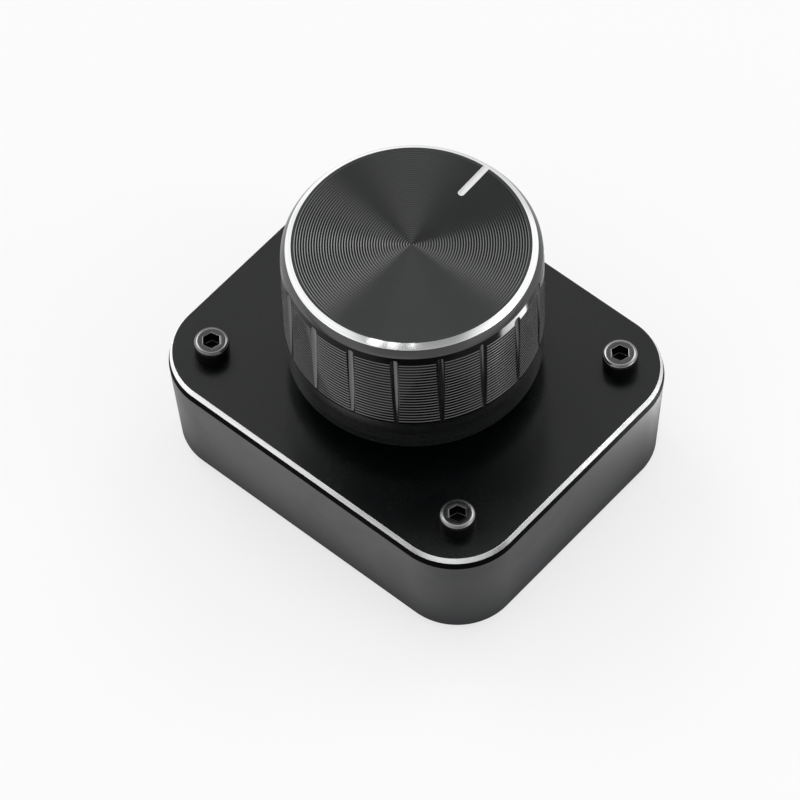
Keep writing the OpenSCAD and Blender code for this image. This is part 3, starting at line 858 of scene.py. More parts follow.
TIN = Finish(
    "tinned", (0.72, 0.71, 0.69), roughness=0.34, marks=Marks.ROLLED, mark_size=5000.0,
    mark_depth=0.002, tone=0.1, metallic=1.0, smear=0.14,
)
SPRING = Finish(
    "spring_steel", (0.5, 0.5, 0.52), roughness=0.24, marks=Marks.ROLLED, mark_size=9000.0,
    mark_depth=0.002, metallic=1.0, smear=0.08,
)
GOLD = Finish(
    "gold_plate", (0.86, 0.62, 0.25), roughness=0.22, marks=Marks.ROLLED, mark_depth=0.001, tone=0.08,
    metallic=1.0, smear=0.08,
)
MASK_GREEN = Finish(
    "solder_mask", (0.012, 0.11, 0.055), roughness=0.32, marks=Marks.ROLLED, mark_size=1500.0,
    tone=0.3, smear=0.08, coat=0.3,
)
CHIP_BLACK = Finish(
    "moulded_black", (0.018, 0.018, 0.019), roughness=0.5, mark_size=9000.0, mark_depth=0.006,
    tone=0.2, smear=0.06,
)
MOULDING = Finish(
    "moulded_grey", (0.05, 0.05, 0.055), roughness=0.45, mark_size=6000.0, mark_depth=0.006,
    smear=0.08,
)
CERAMIC = Finish(
    "fired_ceramic", (0.5, 0.37, 0.24), roughness=0.5, mark_size=5000.0, tone=0.12,
)


# ---------------------------------------------------------------- the pieces


@dataclass
class Knob:
    """The turned knob: its top rings, bright bevel, grooves, flutes and smooth lower band.

    Attributes:
        base, height, radius: Its lower edge's height, its own height and its radius, in mm as all lengths.
        ring_width, ring_drop: Width and drop of the bright bevel.
        shoulder, shoulder_out, shoulder_drop: The black slope under the bevel.
        shoulder_breaks: Small steps at the slope's corners, outwards and up.
        upper_band: Height of the smooth band above the grooves.
        groove_count, groove_pitch, groove_depth: The grooves round the grip.
        groove_floor: Where a groove's floor starts and ends, as shares of its opening.
        crest_share: Share of the pitch that stays between two grooves.
        flute_count, flute_width, flute_depth, flute_lean: The upright flutes. The lean is in degrees.
        flute_start: Angle of the first flute in degrees.
        flute_over, flute_foot: How far a flute runs above the grooves, and ends above the lowest.
        skirt_step, skirt_lead, skirt_edge: Step, its height and round lower edge of the lower band.
        recess_radius, recess_height: The recess in the underside.
        ring_pitch, ring_rise: The fine rings on the top.
        ring_crest, ring_knee: Share of the pitch up to a ring's crest, and of that up to its bend.
        top_margin: Plain margin between the rings and the bevel.
        rim_step, rim_drop: The last ring's outer slope, across and below the top.
        bevel_tilt, ridge_tilt, side_tilt: How far a face's normal leans up or outwards where it lies on
            the bright bevel, on a ring's outer slope, and on a slope of the side.
        side_margin: How far inside and above the side's bounds a face may lie.
        facing: How squarely the pointer cutter's flat end faces outwards.
        pointer_angle, pointer_width, pointer_depth, pointer_inner: The pointer's slot.
        bore_radius, bore_top: The bore for the shaft.
        screw_hole_radius, screw_hole_z, screw_hole_inner: The set screw's hole.
        steps, cutter_steps, cutter_sides: Steps round the knob, a flute's cutter and a drill.
        smooth_angle: Angle in degrees that stays sharp.
        finishes: Its finishes in the order of KnobSlot.
    """

    base: float = 25.0
    height: float = 25.0
    radius: float = 19.8
    ring_width: float = 0.9
    ring_drop: float = 0.65
    shoulder: float = 0.85
    shoulder_out: float = 0.7
    shoulder_drop: float = 1.13
    shoulder_breaks: tuple[Point, Point, Point] = ((0.05, -0.05), (-0.03, 0.05), (0.01, -0.06))
    upper_band: float = 1.9
    groove_count: int = 22
    groove_pitch: float = 0.69
    groove_depth: float = 0.1
    groove_floor: Point = (0.3, 0.36)
    crest_share: float = 0.72
    flute_count: int = 18
    flute_width: float = 1.42
    flute_depth: float = 0.57
    flute_lean: float = 1.5
    flute_start: float = 3.0
    flute_over: float = 1.0
    flute_foot: float = 0.1
    skirt_step: float = 0.1
    skirt_lead: float = 0.06
    skirt_edge: float = 0.5
    recess_radius: float = 8.5
    recess_height: float = 2.5
    ring_pitch: float = 0.4
    ring_rise: float = 0.025
    ring_crest: float = 0.7
    ring_knee: float = 0.6
    top_margin: float = 0.45
    rim_step: float = 0.03
    rim_drop: float = 0.005
    bevel_tilt: Point = (0.6, 0.97)
    ridge_tilt: float = 0.1
    side_tilt: float = 0.2
    side_margin: Point = (0.05, 0.01)
    facing: float = 0.9
    pointer_angle: float = 92.2
    pointer_width: float = 1.08
    pointer_depth: float = 0.35
    pointer_inner: float = 11.5
    bore_radius: float = 3.04
    bore_top: float = 39.0
    screw_hole_radius: float = 1.7
    screw_hole_z: float = 29.46
    screw_hole_inner: float = 5.0
    steps: int = 216
    cutter_steps: int = 28
    cutter_sides: int = 32
    smooth_angle: float = 14.0
    finishes: tuple[Finish, ...] = (
        KNOB_BLACK, CUT_RING, FLUTE_BLACK, CUT_SLOT, SHOULDER_LIT_BLACK, GROOVE_LIT_BLACK, BAND_SHADED_BLACK, SKIRT_BLACK,
        RIDGE_HIGHLIGHT_BLACK,
    )

    @property
    def top(self) -> float:
        """Height of the knob's top."""
        return self.base + self.height

    @property
    def face(self) -> float:
        """Radius of the top inside the bright bevel."""
        return self.radius - self.shoulder - self.ring_width

    @property
    def rim(self) -> float:
        """Height of the lower edge of the bright bevel."""
        return self.top - self.ring_drop

    @property
    def groove_top(self) -> float:
        """Height of the upper edge of the first groove."""
        return self.top - self.ring_drop - self.shoulder - self.upper_band

    @property
    def groove_bottom(self) -> float:
        """Height of the lower edge of the last groove."""
        return self.groove_top - self.groove_count * self.groove_pitch

    def top_points(self) -> list[Point]:
        """List the section of the top: rings of one pitch each, then a plain margin up to the bevel.

        Returns:
            Radius and height of each corner in mm, from the axis outwards.
        """
        valley = self.top - self.ring_rise
        bend = (self.ring_crest * self.ring_knee, 0.5)
        count = int((self.face - self.top_margin) / self.ring_pitch)
        points = [(0.0, valley)]
        for number in range(count):
            start = number * self.ring_pitch
            for share, drop in ((0.0, 1.0), bend, (self.ring_crest, 0.0)):
                if number or share > 0:
                    points.append((start + share * self.ring_pitch, self.top - drop * self.ring_rise))
        last = count * self.ring_pitch
        points += [(last, valley), (last + self.rim_step, self.top - self.rim_drop), (self.face, self.top)]
        return points

    def side_points(self) -> list[Point]:
        """List the section of the side.

        Returns:
            Radius and height of each corner in mm, from the bright bevel to the bottom edge.
        """
        edge = self.radius - self.shoulder
        lip = edge + self.shoulder_out
        low = self.rim - self.shoulder_drop
        starts = ((edge, self.rim), (lip, low), (lip, low))
        points = [(edge, self.rim)]
        points += [(r + out, z + up) for (r, z), (out, up) in zip(starts, self.shoulder_breaks)]
        opening = self.groove_pitch * (1 - self.crest_share)
        for number in range(self.groove_count):
            z = self.groove_top - number * self.groove_pitch
            points.append((self.radius, z))
            points += [(self.radius - self.groove_depth, z - share * opening) for share in self.groove_floor]
            points.append((self.radius, z - opening))
        skirt = self.radius - self.skirt_step
        points += [(self.radius, self.groove_bottom), (skirt, self.groove_bottom - self.skirt_lead)]
        for angle in quarter(ROUND_STEP):
            inwards = self.skirt_edge * (1 - math.cos(angle))
            points.append((skirt - inwards, self.base + self.skirt_edge * (1 - math.sin(angle))))
        return points

    def under_points(self) -> list[Point]:
        """List the section of the underside, from the recess's edge to the axis."""
        roof = self.base + self.recess_height
        return [(self.recess_radius, self.base), (self.recess_radius, roof), (0.0, roof)]

    def flute_cutter(self) -> bpy.types.Object:
        """Shape the cutter of one flute: a round bar with a ball end.

        Returns:
            The cutter, in its place on the X axis.
        """
        half = self.flute_width / 2
        ball = (half * half + self.flute_depth * self.flute_depth) / (2 * self.flute_depth)
        end = self.groove_top + self.flute_over - ball
        foot = self.groove_bottom + self.flute_foot
        outline = [(0.0, foot), (ball, foot)]
        outline += [(ball * math.cos(a), end + ball * math.sin(a)) for a in quarter(ROUND_STEP)[:-1]]
        outline.append((0.0, end + ball))
        cutter = Bench.turned("flute_cutter", outline, self.cutter_steps)
        lift = Matrix.Translation((0, 0, (end + ball) * MM))
        lean = lift @ Matrix.Rotation(math.radians(-self.flute_lean), 4, "Y") @ lift.inverted()
        out = Matrix.Translation(((self.radius - self.flute_depth + ball) * MM, 0, 0))
        cutter.data.transform(out @ lean)
        return cutter

    def load_cutter(self, cutter: bpy.types.Object, slot: KnobSlot) -> None:
        """Give a cutter the finish that its cut leaves on the knob.

        Args:
            cutter: The cutter.
            slot: The finish of the cut.
        """
        for finish in self.finishes[: slot.value + 1]:
            cutter.data.materials.append(finish.material())
        for face in cutter.data.polygons:
            face.material_index = slot.value

    def cut_flutes(self, knob: bpy.types.Object) -> None:
        """Mill the flutes round the grip, all with one cutter.

        Args:
            knob: The turned knob.
        """
        first = self.flute_cutter()
        self.load_cutter(first, KnobSlot.FLUTE)
        cutters = []
        for number in range(self.flute_count):
            angle = math.radians(self.flute_start + number * 360 / self.flute_count)
            cutters.append(Bench.copy(first, f"flute_cutter_{number}", Matrix.Rotation(angle, 4, "Z")))
        bpy.data.objects.remove(first)
        Bench.combine(knob, Bench.join(cutters))

    def cut_pointer(self, knob: bpy.types.Object) -> None:
        """Mill the pointer's slot from its round inner end out through the rim.

        Args:
            knob: The turned knob.
        """
        half = self.pointer_width / 2
        start = self.pointer_inner + half
        foot = (start, 0, self.top - self.pointer_depth)
        cutter = Bench.rod("pointer_cutter", half, foot, self.pointer_depth + CLEAR, self.cutter_sides)
        Bench.edit(cutter, "FACE")
        bpy.ops.mesh.select_all(action="SELECT")
        plane = {"plane_co": (start * MM, 0, 0), "plane_no": (1, 0, 0)}
        bpy.ops.mesh.bisect(**plane, use_fill=True, clear_outer=True)
        Bench.pick_faces(cutter, lambda centre, normal: normal.x > self.facing)
        bpy.ops.mesh.extrude_region_move(TRANSFORM_OT_translate={"value": (self.radius * MM, 0, 0)})
        Bench.done()
        Bench.tidy(cutter)
        self.load_cutter(cutter, KnobSlot.POINTER)
        cutter.data.transform(Matrix.Rotation(math.radians(self.pointer_angle), 4, "Z"))
        Bench.combine(knob, cutter)

    def drill(self, knob: bpy.types.Object) -> None:
        """Drill the bore for the shaft and the set screw's hole in the lower band.

        Args:
            knob: The turned knob.
        """
        foot = self.base + self.recess_height - CLEAR
        Bench.combine(knob, Bench.rod("bore", self.bore_radius, (0, 0, foot), self.bore_top - foot))
        start = (0, 0, self.screw_hole_inner)
        hole = Bench.rod("screw_hole", self.screw_hole_radius, start, self.radius, self.cutter_sides)
        turn = Matrix.Rotation(math.radians(self.pointer_angle - 90), 4, "Z")
        lift = Matrix.Translation((0, 0, self.screw_hole_z * MM))
        hole.data.transform(turn @ lift @ Matrix.Rotation(-math.pi / 2, 4, "X"))
        Bench.combine(knob, hole)

    def on_ring(self, centre: Vector, normal: Vector) -> bool:
        """Say whether a face lies on the bright bevel, by its middle in mm and its normal."""
        placed = self.rim < centre.z < self.top and math.hypot(centre.x, centre.y) > self.face
        return placed and self.bevel_tilt[0] < normal.z < self.bevel_tilt[1]

    def on_ridge(self, centre: Vector, normal: Vector) -> bool:
        """Say whether a face is the outer slope of a ring on the top, by its middle and normal."""
        radius = math.hypot(centre.x, centre.y)
        outwards = normal.x * centre.x + normal.y * centre.y > self.ridge_tilt * radius
        return centre.z > self.top - self.ring_rise and radius < self.face and outwards

    def on_side(self, centre: Vector) -> bool:
        """Say whether a face lies on the outer side."""
        inside, above = self.side_margin
        outer = math.hypot(centre.x, centre.y) > self.radius - self.shoulder - inside
        return outer and centre.z < self.rim + above

    def side_slot(self, centre: Vector, normal: Vector) -> KnobSlot:
        """Choose the finish of a face on the side by how it is turned and how high it lies. Faces turned
        upwards get the shoulder's and the grooves' copies of the black, which reflect more and paint light on
        them; upright faces get the band's copy, which reflects almost nothing and paints shade on them.
        """
        if normal.z > self.side_tilt:
            return KnobSlot.SHOULDER if centre.z > self.groove_top else KnobSlot.GROOVE
        return KnobSlot.SKIRT if centre.z < self.groove_bottom else KnobSlot.BAND

    def side_test(self, slot: KnobSlot) -> Callable[[Vector, Vector], bool]:
        """Make the test that picks the side's faces of one finish.

        Args:
            slot: The finish.

        Returns:
            A test of a face's middle (in mm) and normal.
        """

        def chosen(centre: Vector, normal: Vector) -> bool:
            """Say whether a face lies on the side and gets this finish."""
            return self.on_side(centre) and self.side_slot(centre, normal) is slot

        return chosen

    def build(self) -> bpy.types.Object:
        """Turn, mill and finish the knob.

        Returns:
            The knob, in place of its CAD node.
        """
        outline = self.top_points() + self.side_points() + self.under_points()
        knob = Bench.turned("turned_knob", outline, self.steps)
        for finish in self.finishes:
            knob.data.materials.append(finish.material())
        self.cut_flutes(knob)
        self.cut_pointer(knob)
        self.drill(knob)
        milled = [face.material_index for face in knob.data.polygons]
        Bench.finish_faces(knob, KnobSlot.RING.value, self.on_ring)
        # The outer slopes of the rings get the paler copy: painted highlight.
        Bench.finish_faces(knob, KnobSlot.RIDGE.value, self.on_ridge)
        for slot in (KnobSlot.BAND, KnobSlot.SKIRT, KnobSlot.GROOVE, KnobSlot.SHOULDER):
            Bench.finish_faces(knob, slot.value, self.side_test(slot))
        for face, slot in zip(knob.data.polygons, milled):
            if slot in (KnobSlot.FLUTE.value, KnobSlot.POINTER.value):
                face.material_index = slot
        Bench.smooth(knob, self.smooth_angle)
        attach(knob, Body.KNOB.value)
        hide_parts("knob_body")
        return knob


@dataclass
class CapScrew:
    """A socket-head cap screw, turned on the Z axis with its head standing on z = 0.

    Attributes:
        radius, head: The head's radius and height, in mm as all lengths.
        rim, rim_gap: Radius of the head's round upper edge, and the small step under it.
        top_in, bead, top_steps: How far that edge is set in, how far it lies under the flat top, and
            where the step up to the top starts and ends, in from the radius.
        shank, length, lead: Radius and length of the shank, and the chamfer at its end.
        under_edge: Chamfer of the head's lower edge.
        socket_flat, socket_depth, socket_turn: Half width, depth and angle of the hex socket.
        sink_radius, sink_height, sink_lift: The countersink's cone and its middle above the head.
        worn: Width of the edges that wear has rubbed bright.
        rim_inner, rim_tilt: Radius from which a face lies on the rim, and how far up it must point.
        side_inner, side_tilt: Radius from which a face lies on the head's side, and how far it may lean.
        steps, sink_sides: Steps round the screw, and sides of the countersink.
        sharp_angle, smooth_angle: Angles in degrees from which an edge is broken, and stays sharp.
    """

    radius: float = 2.75
    head: float = 3.0
    rim: float = 0.5
    rim_gap: float = 0.06
    top_in: float = 0.03
    bead: float = 0.02
    top_steps: Point = (0.5, 0.58)
    shank: float = 1.45
    length: float = 7.9
    lead: Point = (0.25, 0.3)
    under_edge: float = 0.15
    socket_flat: float = 1.28
    socket_depth: float = 2.0
    socket_turn: float = -17.0
    sink_radius: float = 2.1
    sink_height: float = 1.2
    sink_lift: float = 0.24
    worn: float = 0.045
    rim_inner: float = 2.26
    rim_tilt: float = 0.1
    side_inner: float = 2.5
    side_tilt: float = 0.5
    steps: int = 72
    sink_sides: int = 48
    sharp_angle: float = 32.0
    smooth_angle: float = 30.0

    @property
    def rim_low(self) -> float:
        """Height of the lower end of the head's round upper edge."""
        return self.head - self.rim - self.rim_gap

    def outline(self) -> list[Point]:
        """List the screw's section.

        Returns:
            Radius and height of each corner in mm, from the shank's end to the middle of the head's top.
        """
        points = [
            (0.0, -self.length),
            (self.shank - self.lead[0], -self.length),
            (self.shank, self.lead[1] - self.length),
            (self.shank, 0.0),
            (self.radius - self.under_edge, 0.0),
            (self.radius, self.under_edge),
            (self.radius, self.rim_low),
        ]
        edge, level = self.radius - self.top_in, self.head - self.bead
        for angle in quarter(ROUND_STEP)[:-1]:
            inwards = self.rim * (1 - math.cos(angle))
            points.append((edge - inwards, level - self.rim * (1 - math.sin(angle))))
        first, second = (self.radius - step for step in self.top_steps)
        points += [(first, level), (second, self.head), (0.0, self.head)]
        return points

    def cut_socket(self, screw: bpy.types.Object) -> None:
        """Countersink the head and broach its hex socket.

        Args:
            screw: The turned screw.
        """
        Bench.clear()
        place = (0, 0, (self.head + self.sink_lift) * MM)
        cone = {"radius1": 0.0, "radius2": self.sink_radius * MM, "depth": self.sink_height * MM}
        bpy.ops.mesh.primitive_cone_add(vertices=self.sink_sides, location=place, **cone)
        Bench.combine(screw, Bench.named("countersink"))
        corner = self.socket_flat / math.cos(math.pi / 6)
        foot = (0, 0, self.head - self.socket_depth)
        socket = Bench.rod("hex_socket", corner, foot, self.socket_depth + CLEAR, 6)
        socket.data.transform(Matrix.Rotation(math.radians(self.socket_turn), 4, "Z"))
        for finish in (SCREW_BLACK, WORN_STEEL, SOCKET_SHADE_BLACK):
            socket.data.materials.append(finish.material())
        # The socket's walls get the painted shade.
        for face in socket.data.polygons:
            face.material_index = ScrewSlot.SOCKET.value
        Bench.combine(screw, socket)

    def on_rim(self, centre: Vector, normal: Vector) -> bool:
        """Say whether a face lies on the head's round upper edge."""
        outer = math.hypot(centre.x, centre.y) > self.rim_inner
        return outer and centre.z > self.rim_low and normal.z > self.rim_tilt

    def on_bead(self, centre: Vector, normal: Vector) -> bool:
        """Say whether a face is the small step round the flat top."""
        middle = self.radius - sum(self.top_steps) / 2
        close = abs(math.hypot(centre.x, centre.y) - middle) < self.top_in
        return close and centre.z > self.head - self.top_in

    def on_flank(self, centre: Vector, normal: Vector) -> bool:
        """Say whether a face lies on the head's upright side."""
        return math.hypot(centre.x, centre.y) > self.side_inner and abs(normal.z) < self.side_tilt

    def build(self) -> bpy.types.Object:
        """Turn the screw, cut its socket and finish it.

        Returns:
            The screw, on the Z axis.
        """
        screw = Bench.turned("cap_screw", self.outline(), self.steps)
        for finish in (SCREW_BLACK, WORN_STEEL, SOCKET_SHADE_BLACK, SCREW_RIM):
            screw.data.materials.append(finish.material())
        self.cut_socket(screw)
        Bench.break_edges(screw, self.worn, 2, self.sharp_angle, ScrewSlot.WORN.value)
        Bench.finish_faces(screw, ScrewSlot.RIM.value, self.on_rim)
        Bench.finish_faces(screw, ScrewSlot.WORN.value, self.on_bead)
        # The head's upright side gets the same painted shade.
        Bench.finish_faces(screw, ScrewSlot.SOCKET.value, self.on_flank)
        Bench.smooth(screw, self.smooth_angle, weighted=True)
        return screw


@dataclass
class Case:
    """The machined case, its lid, the cap screws and the rubber feet.

    Attributes:
        width, depth, corner, bottom, height: The case's outer sizes, in mm as all lengths.
        taper: How far the walls lean in towards the desk.
        wall, floor, plate: Thickness of the walls, the tray's floor and the lid.
        foot_edge, foot_strips: Round lower edge of the tray, and the strips across it.
        edge_break, lid_break, lid_sharp: Width of every other broken edge of the tray and of the lid, and
            the angle in degrees from which an edge of the lid is broken.
        smooth_angle, foot_smooth: Angles in degrees that stay sharp on the tray and lid, and on a foot.
        bevel, bevel_drop, edge_lean: The lid's bright bevel, and how far its edge leans in.
        screw_place, screw_hole, thread_radius, thread_depth: The screws and their holes.
        post_radius, post_sink, post_gap: The screws' posts, how far they are sunk in the floor, and how
            far they stay under the rim.
        bushing_hole: Radius of the hole for the encoder's bushing.
        bevel_tilt, edge_tilt: How far up a face points on the lid's bevel, and at most on its edge.
        bevel_margin, plan_margin: How far a face keeps from the bevel's lower and upper edge, and how far
            inside the plan outline a point may lie.
        foot_place, recess_radius, recess_depth: The feet and their recesses.
        foot_section, foot_steps: A foot's section, from the axis above to the axis below, and its steps.
        port_y, port_z, port_reach: The data socket's place, and how far its cutters reach.
        grip_size, grip_round, mouth_size, mouth_round: The recess for a plug's grip and the socket's mouth.
        pieces: What has been made.
    """

    width: float = 65.5
    depth: float = 54.2
    corner: float = 10.9
    bottom: float = 1.0
    height: float = 19.5
    taper: float = 1.1
    wall: float = 2.5
    floor: float = 2.0
    plate: float = 2.0
    foot_edge: float = 0.5
    foot_strips: int = 4
    edge_break: float = 0.08
    lid_break: float = 0.03
    lid_sharp: float = 15.0
    smooth_angle: float = 40.0
    foot_smooth: float = 35.0
    bevel: float = 0.4
    bevel_drop: float = 0.85
    edge_lean: float = 0.2
    bevel_tilt: Point = (0.3, 0.97)
    edge_tilt: float = 0.6
    bevel_margin: Point = (0.02, 0.002)
    plan_margin: float = 0.02
    screw_place: Point = SCREW_PLACE
    screw_hole: float = 1.7
    thread_radius: float = 1.5
    thread_depth: float = 7.0
    post_radius: float = 4.0
    post_sink: float = 0.5
    post_gap: float = 0.01
    bushing_hole: float = 3.6
    foot_place: Point = (24.15, 18.5)
    recess_radius: float = 4.1
    recess_depth: float = 0.8
    foot_section: tuple[Point, ...] = (
        (0.0, 1.8), (3.9, 1.8), (4.0, 1.7), (4.0, 0.35), (3.9, 0.12),
        (3.68, 0.0), (2.1, 0.0), (2.0, 0.06), (1.9, 0.3), (0.0, 0.3),
    )
    foot_steps: int = 64
    port_y: float = 24.8
    port_z: float = 13.33
    port_reach: float = 8.0
    grip_size: Point = (13.0, 7.4)
    grip_round: float = 3.69
    mouth_size: Point = (9.44, 3.76)
    mouth_round: float = 1.87
    pieces: list[bpy.types.Object] = field(default_factory=list)

    @property
    def top(self) -> float:
        """Height of the lid's top."""
        return self.bottom + self.height

    def corners(self, place: Point) -> list[tuple[str, float, float]]:
        """List the four mirrored places in mm of a fitting, with a name for each."""
        x, y = place
        return [("front_left", -x, -y), ("front_right", x, -y), ("back_left", -x, y), ("back_right", x, y)]

    def outside(self, point: Vector, inset: float) -> bool:
        """Say whether a point in mm lies at or beyond an inset of the case's plan outline."""
        x = max(0.0, abs(point.x) - (self.width / 2 - self.corner))
        y = max(0.0, abs(point.y) - (self.depth / 2 - self.corner))
        return math.hypot(x, y) > self.corner - inset - self.plan_margin

    def tray_shell(self) -> bpy.types.Object:
        """Draw the tray down from its rim: leaning walls, a round lower edge and the cavity.

        Returns:
            The open tray, with no hole in it.
        """
        rim = self.top - self.plate
        tray = Bench.rounded_slab("machined_tray", self.width, self.depth, self.corner, rim, False)
        Bench.edit(tray, "FACE")
        bpy.ops.mesh.select_all(action="SELECT")
        bpy.ops.mesh.inset(thickness=self.taper * MM, depth=(rim - self.bottom) * MM)
        bpy.ops.mesh.bevel(offset=self.foot_edge * MM, segments=self.foot_strips, affect="EDGES")
        Bench.pick_edges(tray, lambda a, b: abs(a.z - rim) < TOUCH and abs(b.z - rim) < TOUCH)
        bpy.ops.mesh.edge_face_add()
        Bench.pick_faces(tray, lambda centre, normal: abs(centre.z - rim) < TOUCH)
        bpy.ops.mesh.inset(thickness=(self.taper + self.wall) * MM, depth=0)
        down = (0, 0, (self.bottom + self.floor - rim) * MM)
        bpy.ops.mesh.extrude_region_move(TRANSFORM_OT_translate={"value": down})
        Bench.done()
        Bench.tidy(tray)
        return tray

    def tray(self) -> bpy.types.Object:
        """Machine the tray: its shell, posts with threaded holes, recesses for the feet and the port.

        Returns:
            The tray, in place of its CAD node.
        """
        rim = self.top - self.plate
        tray = self.tray_shell()
        floor = self.bottom + self.floor - self.post_sink
        thread = rim - self.thread_depth
        for name, x, y in self.corners(self.screw_place):
            height = rim - floor - self.post_gap
            post = Bench.rod(f"post_{name}", self.post_radius, (x, y, floor), height)
            Bench.combine(tray, post, "UNION")
            depth = self.thread_depth + 2 * CLEAR
            Bench.combine(tray, Bench.rod(f"thread_{name}", self.thread_radius, (x, y, thread), depth))
        for name, x, y in self.corners(self.foot_place):
            place = (x, y, self.bottom - CLEAR)
            depth = self.recess_depth + CLEAR
            Bench.combine(tray, Bench.rod(f"recess_{name}", self.recess_radius, place, depth))
        cuts = (
            ("port_recess", self.grip_size, self.port_y + self.port_reach / 2, self.grip_round),
            ("port_mouth", self.mouth_size, self.port_y, self.mouth_round),
        )
        for name, (across, up), y, edge in cuts:
            size = (across, self.port_reach, up)
            Bench.combine(tray, Bench.bar(name, size, (0, y, self.port_z), edge))
        tray.data.materials.append(CASE_BLACK.material())
        Bench.break_edges(tray, self.edge_break)
        Bench.smooth(tray, self.smooth_angle, weighted=True)
        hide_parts("base_tray")
        return tray

    def lid_blank(self) -> bpy.types.Object:
        """Draw the lid down from its top: the bevel, then an edge that leans in, then the underside.

        Returns:
            The lid, with no hole in it.
        """
        lid = Bench.rounded_slab("machined_lid", self.width, self.depth, self.corner, self.top, True)
        Bench.edit(lid, "FACE")
        bpy.ops.mesh.select_all(action="SELECT")
        bpy.ops.mesh.inset(thickness=self.edge_lean * MM, depth=0)
        bpy.ops.mesh.inset(thickness=self.bevel * MM, depth=0)
        for reach, drop in ((0.0, self.plate - self.bevel_drop), (self.edge_lean, self.bevel_drop)):
            Bench.pick_edges(lid, lambda a, b: self.outside(a, reach) and self.outside(b, reach))
            bpy.ops.transform.translate(value=(0, 0, -drop * MM))
        Bench.pick_edges(lid, lambda a, b: self.outside(a, 0.0) and self.outside(b, 0.0))
        bpy.ops.mesh.edge_face_add()
        Bench.done()
        Bench.tidy(lid)
        return lid

    def lid(self) -> bpy.types.Object:
        """Machine the lid: its blank, four screw holes and the bushing's hole.

        Returns:
            The lid, in place of its CAD node.
        """
        lid = self.lid_blank()
        for finish in (PLATE_BLACK, CUT_BEVEL, EDGE_SHADE_BLACK):
            lid.data.materials.append(finish.material())
        start, depth = self.top - self.plate - CLEAR, self.plate + 2 * CLEAR
        for name, x, y in self.corners(self.screw_place):
            Bench.combine(lid, Bench.rod(f"hole_{name}", self.screw_hole, (x, y, start), depth))
        Bench.combine(lid, Bench.rod("bushing_hole", self.bushing_hole, (0, 0, start), depth))
        Bench.break_edges(lid, self.lid_break, angle=self.lid_sharp)
        low = self.top - self.bevel_drop + self.bevel_margin[0]
        high = self.top - self.bevel_margin[1]
        flat, steep = self.bevel_tilt

        def on_bevel(centre: Vector, normal: Vector) -> bool:
            """Say whether a face lies on the bright bevel."""
            return low < centre.z < high and flat < normal.z < steep

        def on_edge(centre: Vector, normal: Vector) -> bool:
            """Say whether a face lies on the edge under the bevel, which gets the painted shade."""
            return centre.z < low and abs(normal.z) < self.edge_tilt

        Bench.finish_faces(lid, LidSlot.BEVEL.value, on_bevel)
        # The edge under the bevel gets the near-black finish: painted shade in the joint between lid and
        # case.
        Bench.finish_faces(lid, LidSlot.EDGE.value, on_edge)
        Bench.smooth(lid, self.smooth_angle, weighted=True)
        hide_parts("top_plate")
        return lid

    def foot(self) -> bpy.types.Object:
        """Turn one rubber foot with a rounded edge and a shallow dimple.

        Returns:
            The foot, on the Z axis.
        """
        foot = Bench.turned("rubber_foot", list(self.foot_section), self.foot_steps)
        foot.data.materials.append(RUBBER.material())
        Bench.smooth(foot, self.foot_smooth)
        return foot

    def spread(self, model: bpy.types.Object, stem: str, place: Place, node: str, slot: str) -> None:
        """Copy a fitting to its four places and put the model away.

        Args:
            model: The fitting, modelled on the Z axis.
            stem: First part of the copies' names.
            place: The place in mm of the copy at the back right.
            node: The CAD node that they replace.
            slot: Not used.
        """
        for name, x, y in self.corners(place[:2]):
            copy = Bench.copy(model, f"{stem}_{name}", Matrix.Translation(Vector((x, y, place[2])) * MM))
            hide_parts(node)
            self.pieces.append(copy)
        bpy.data.objects.remove(model)

    def build(self) -> list[bpy.types.Object]:
        """Make every outer piece of the case.

        Returns:
            The pieces.
        """
        self.pieces += [self.tray(), self.lid()]
        head_foot = (*self.screw_place, self.top)
        self.spread(CapScrew().build(), "cap_screw", head_foot, "cap_screws", "screw_black")
        self.spread(self.foot(), "rubber_foot", (*self.foot_place, 0.0), "rubber_feet", "rubber")
        for piece in self.pieces:
            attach(piece, Body.CASE.value)
        return self.pieces


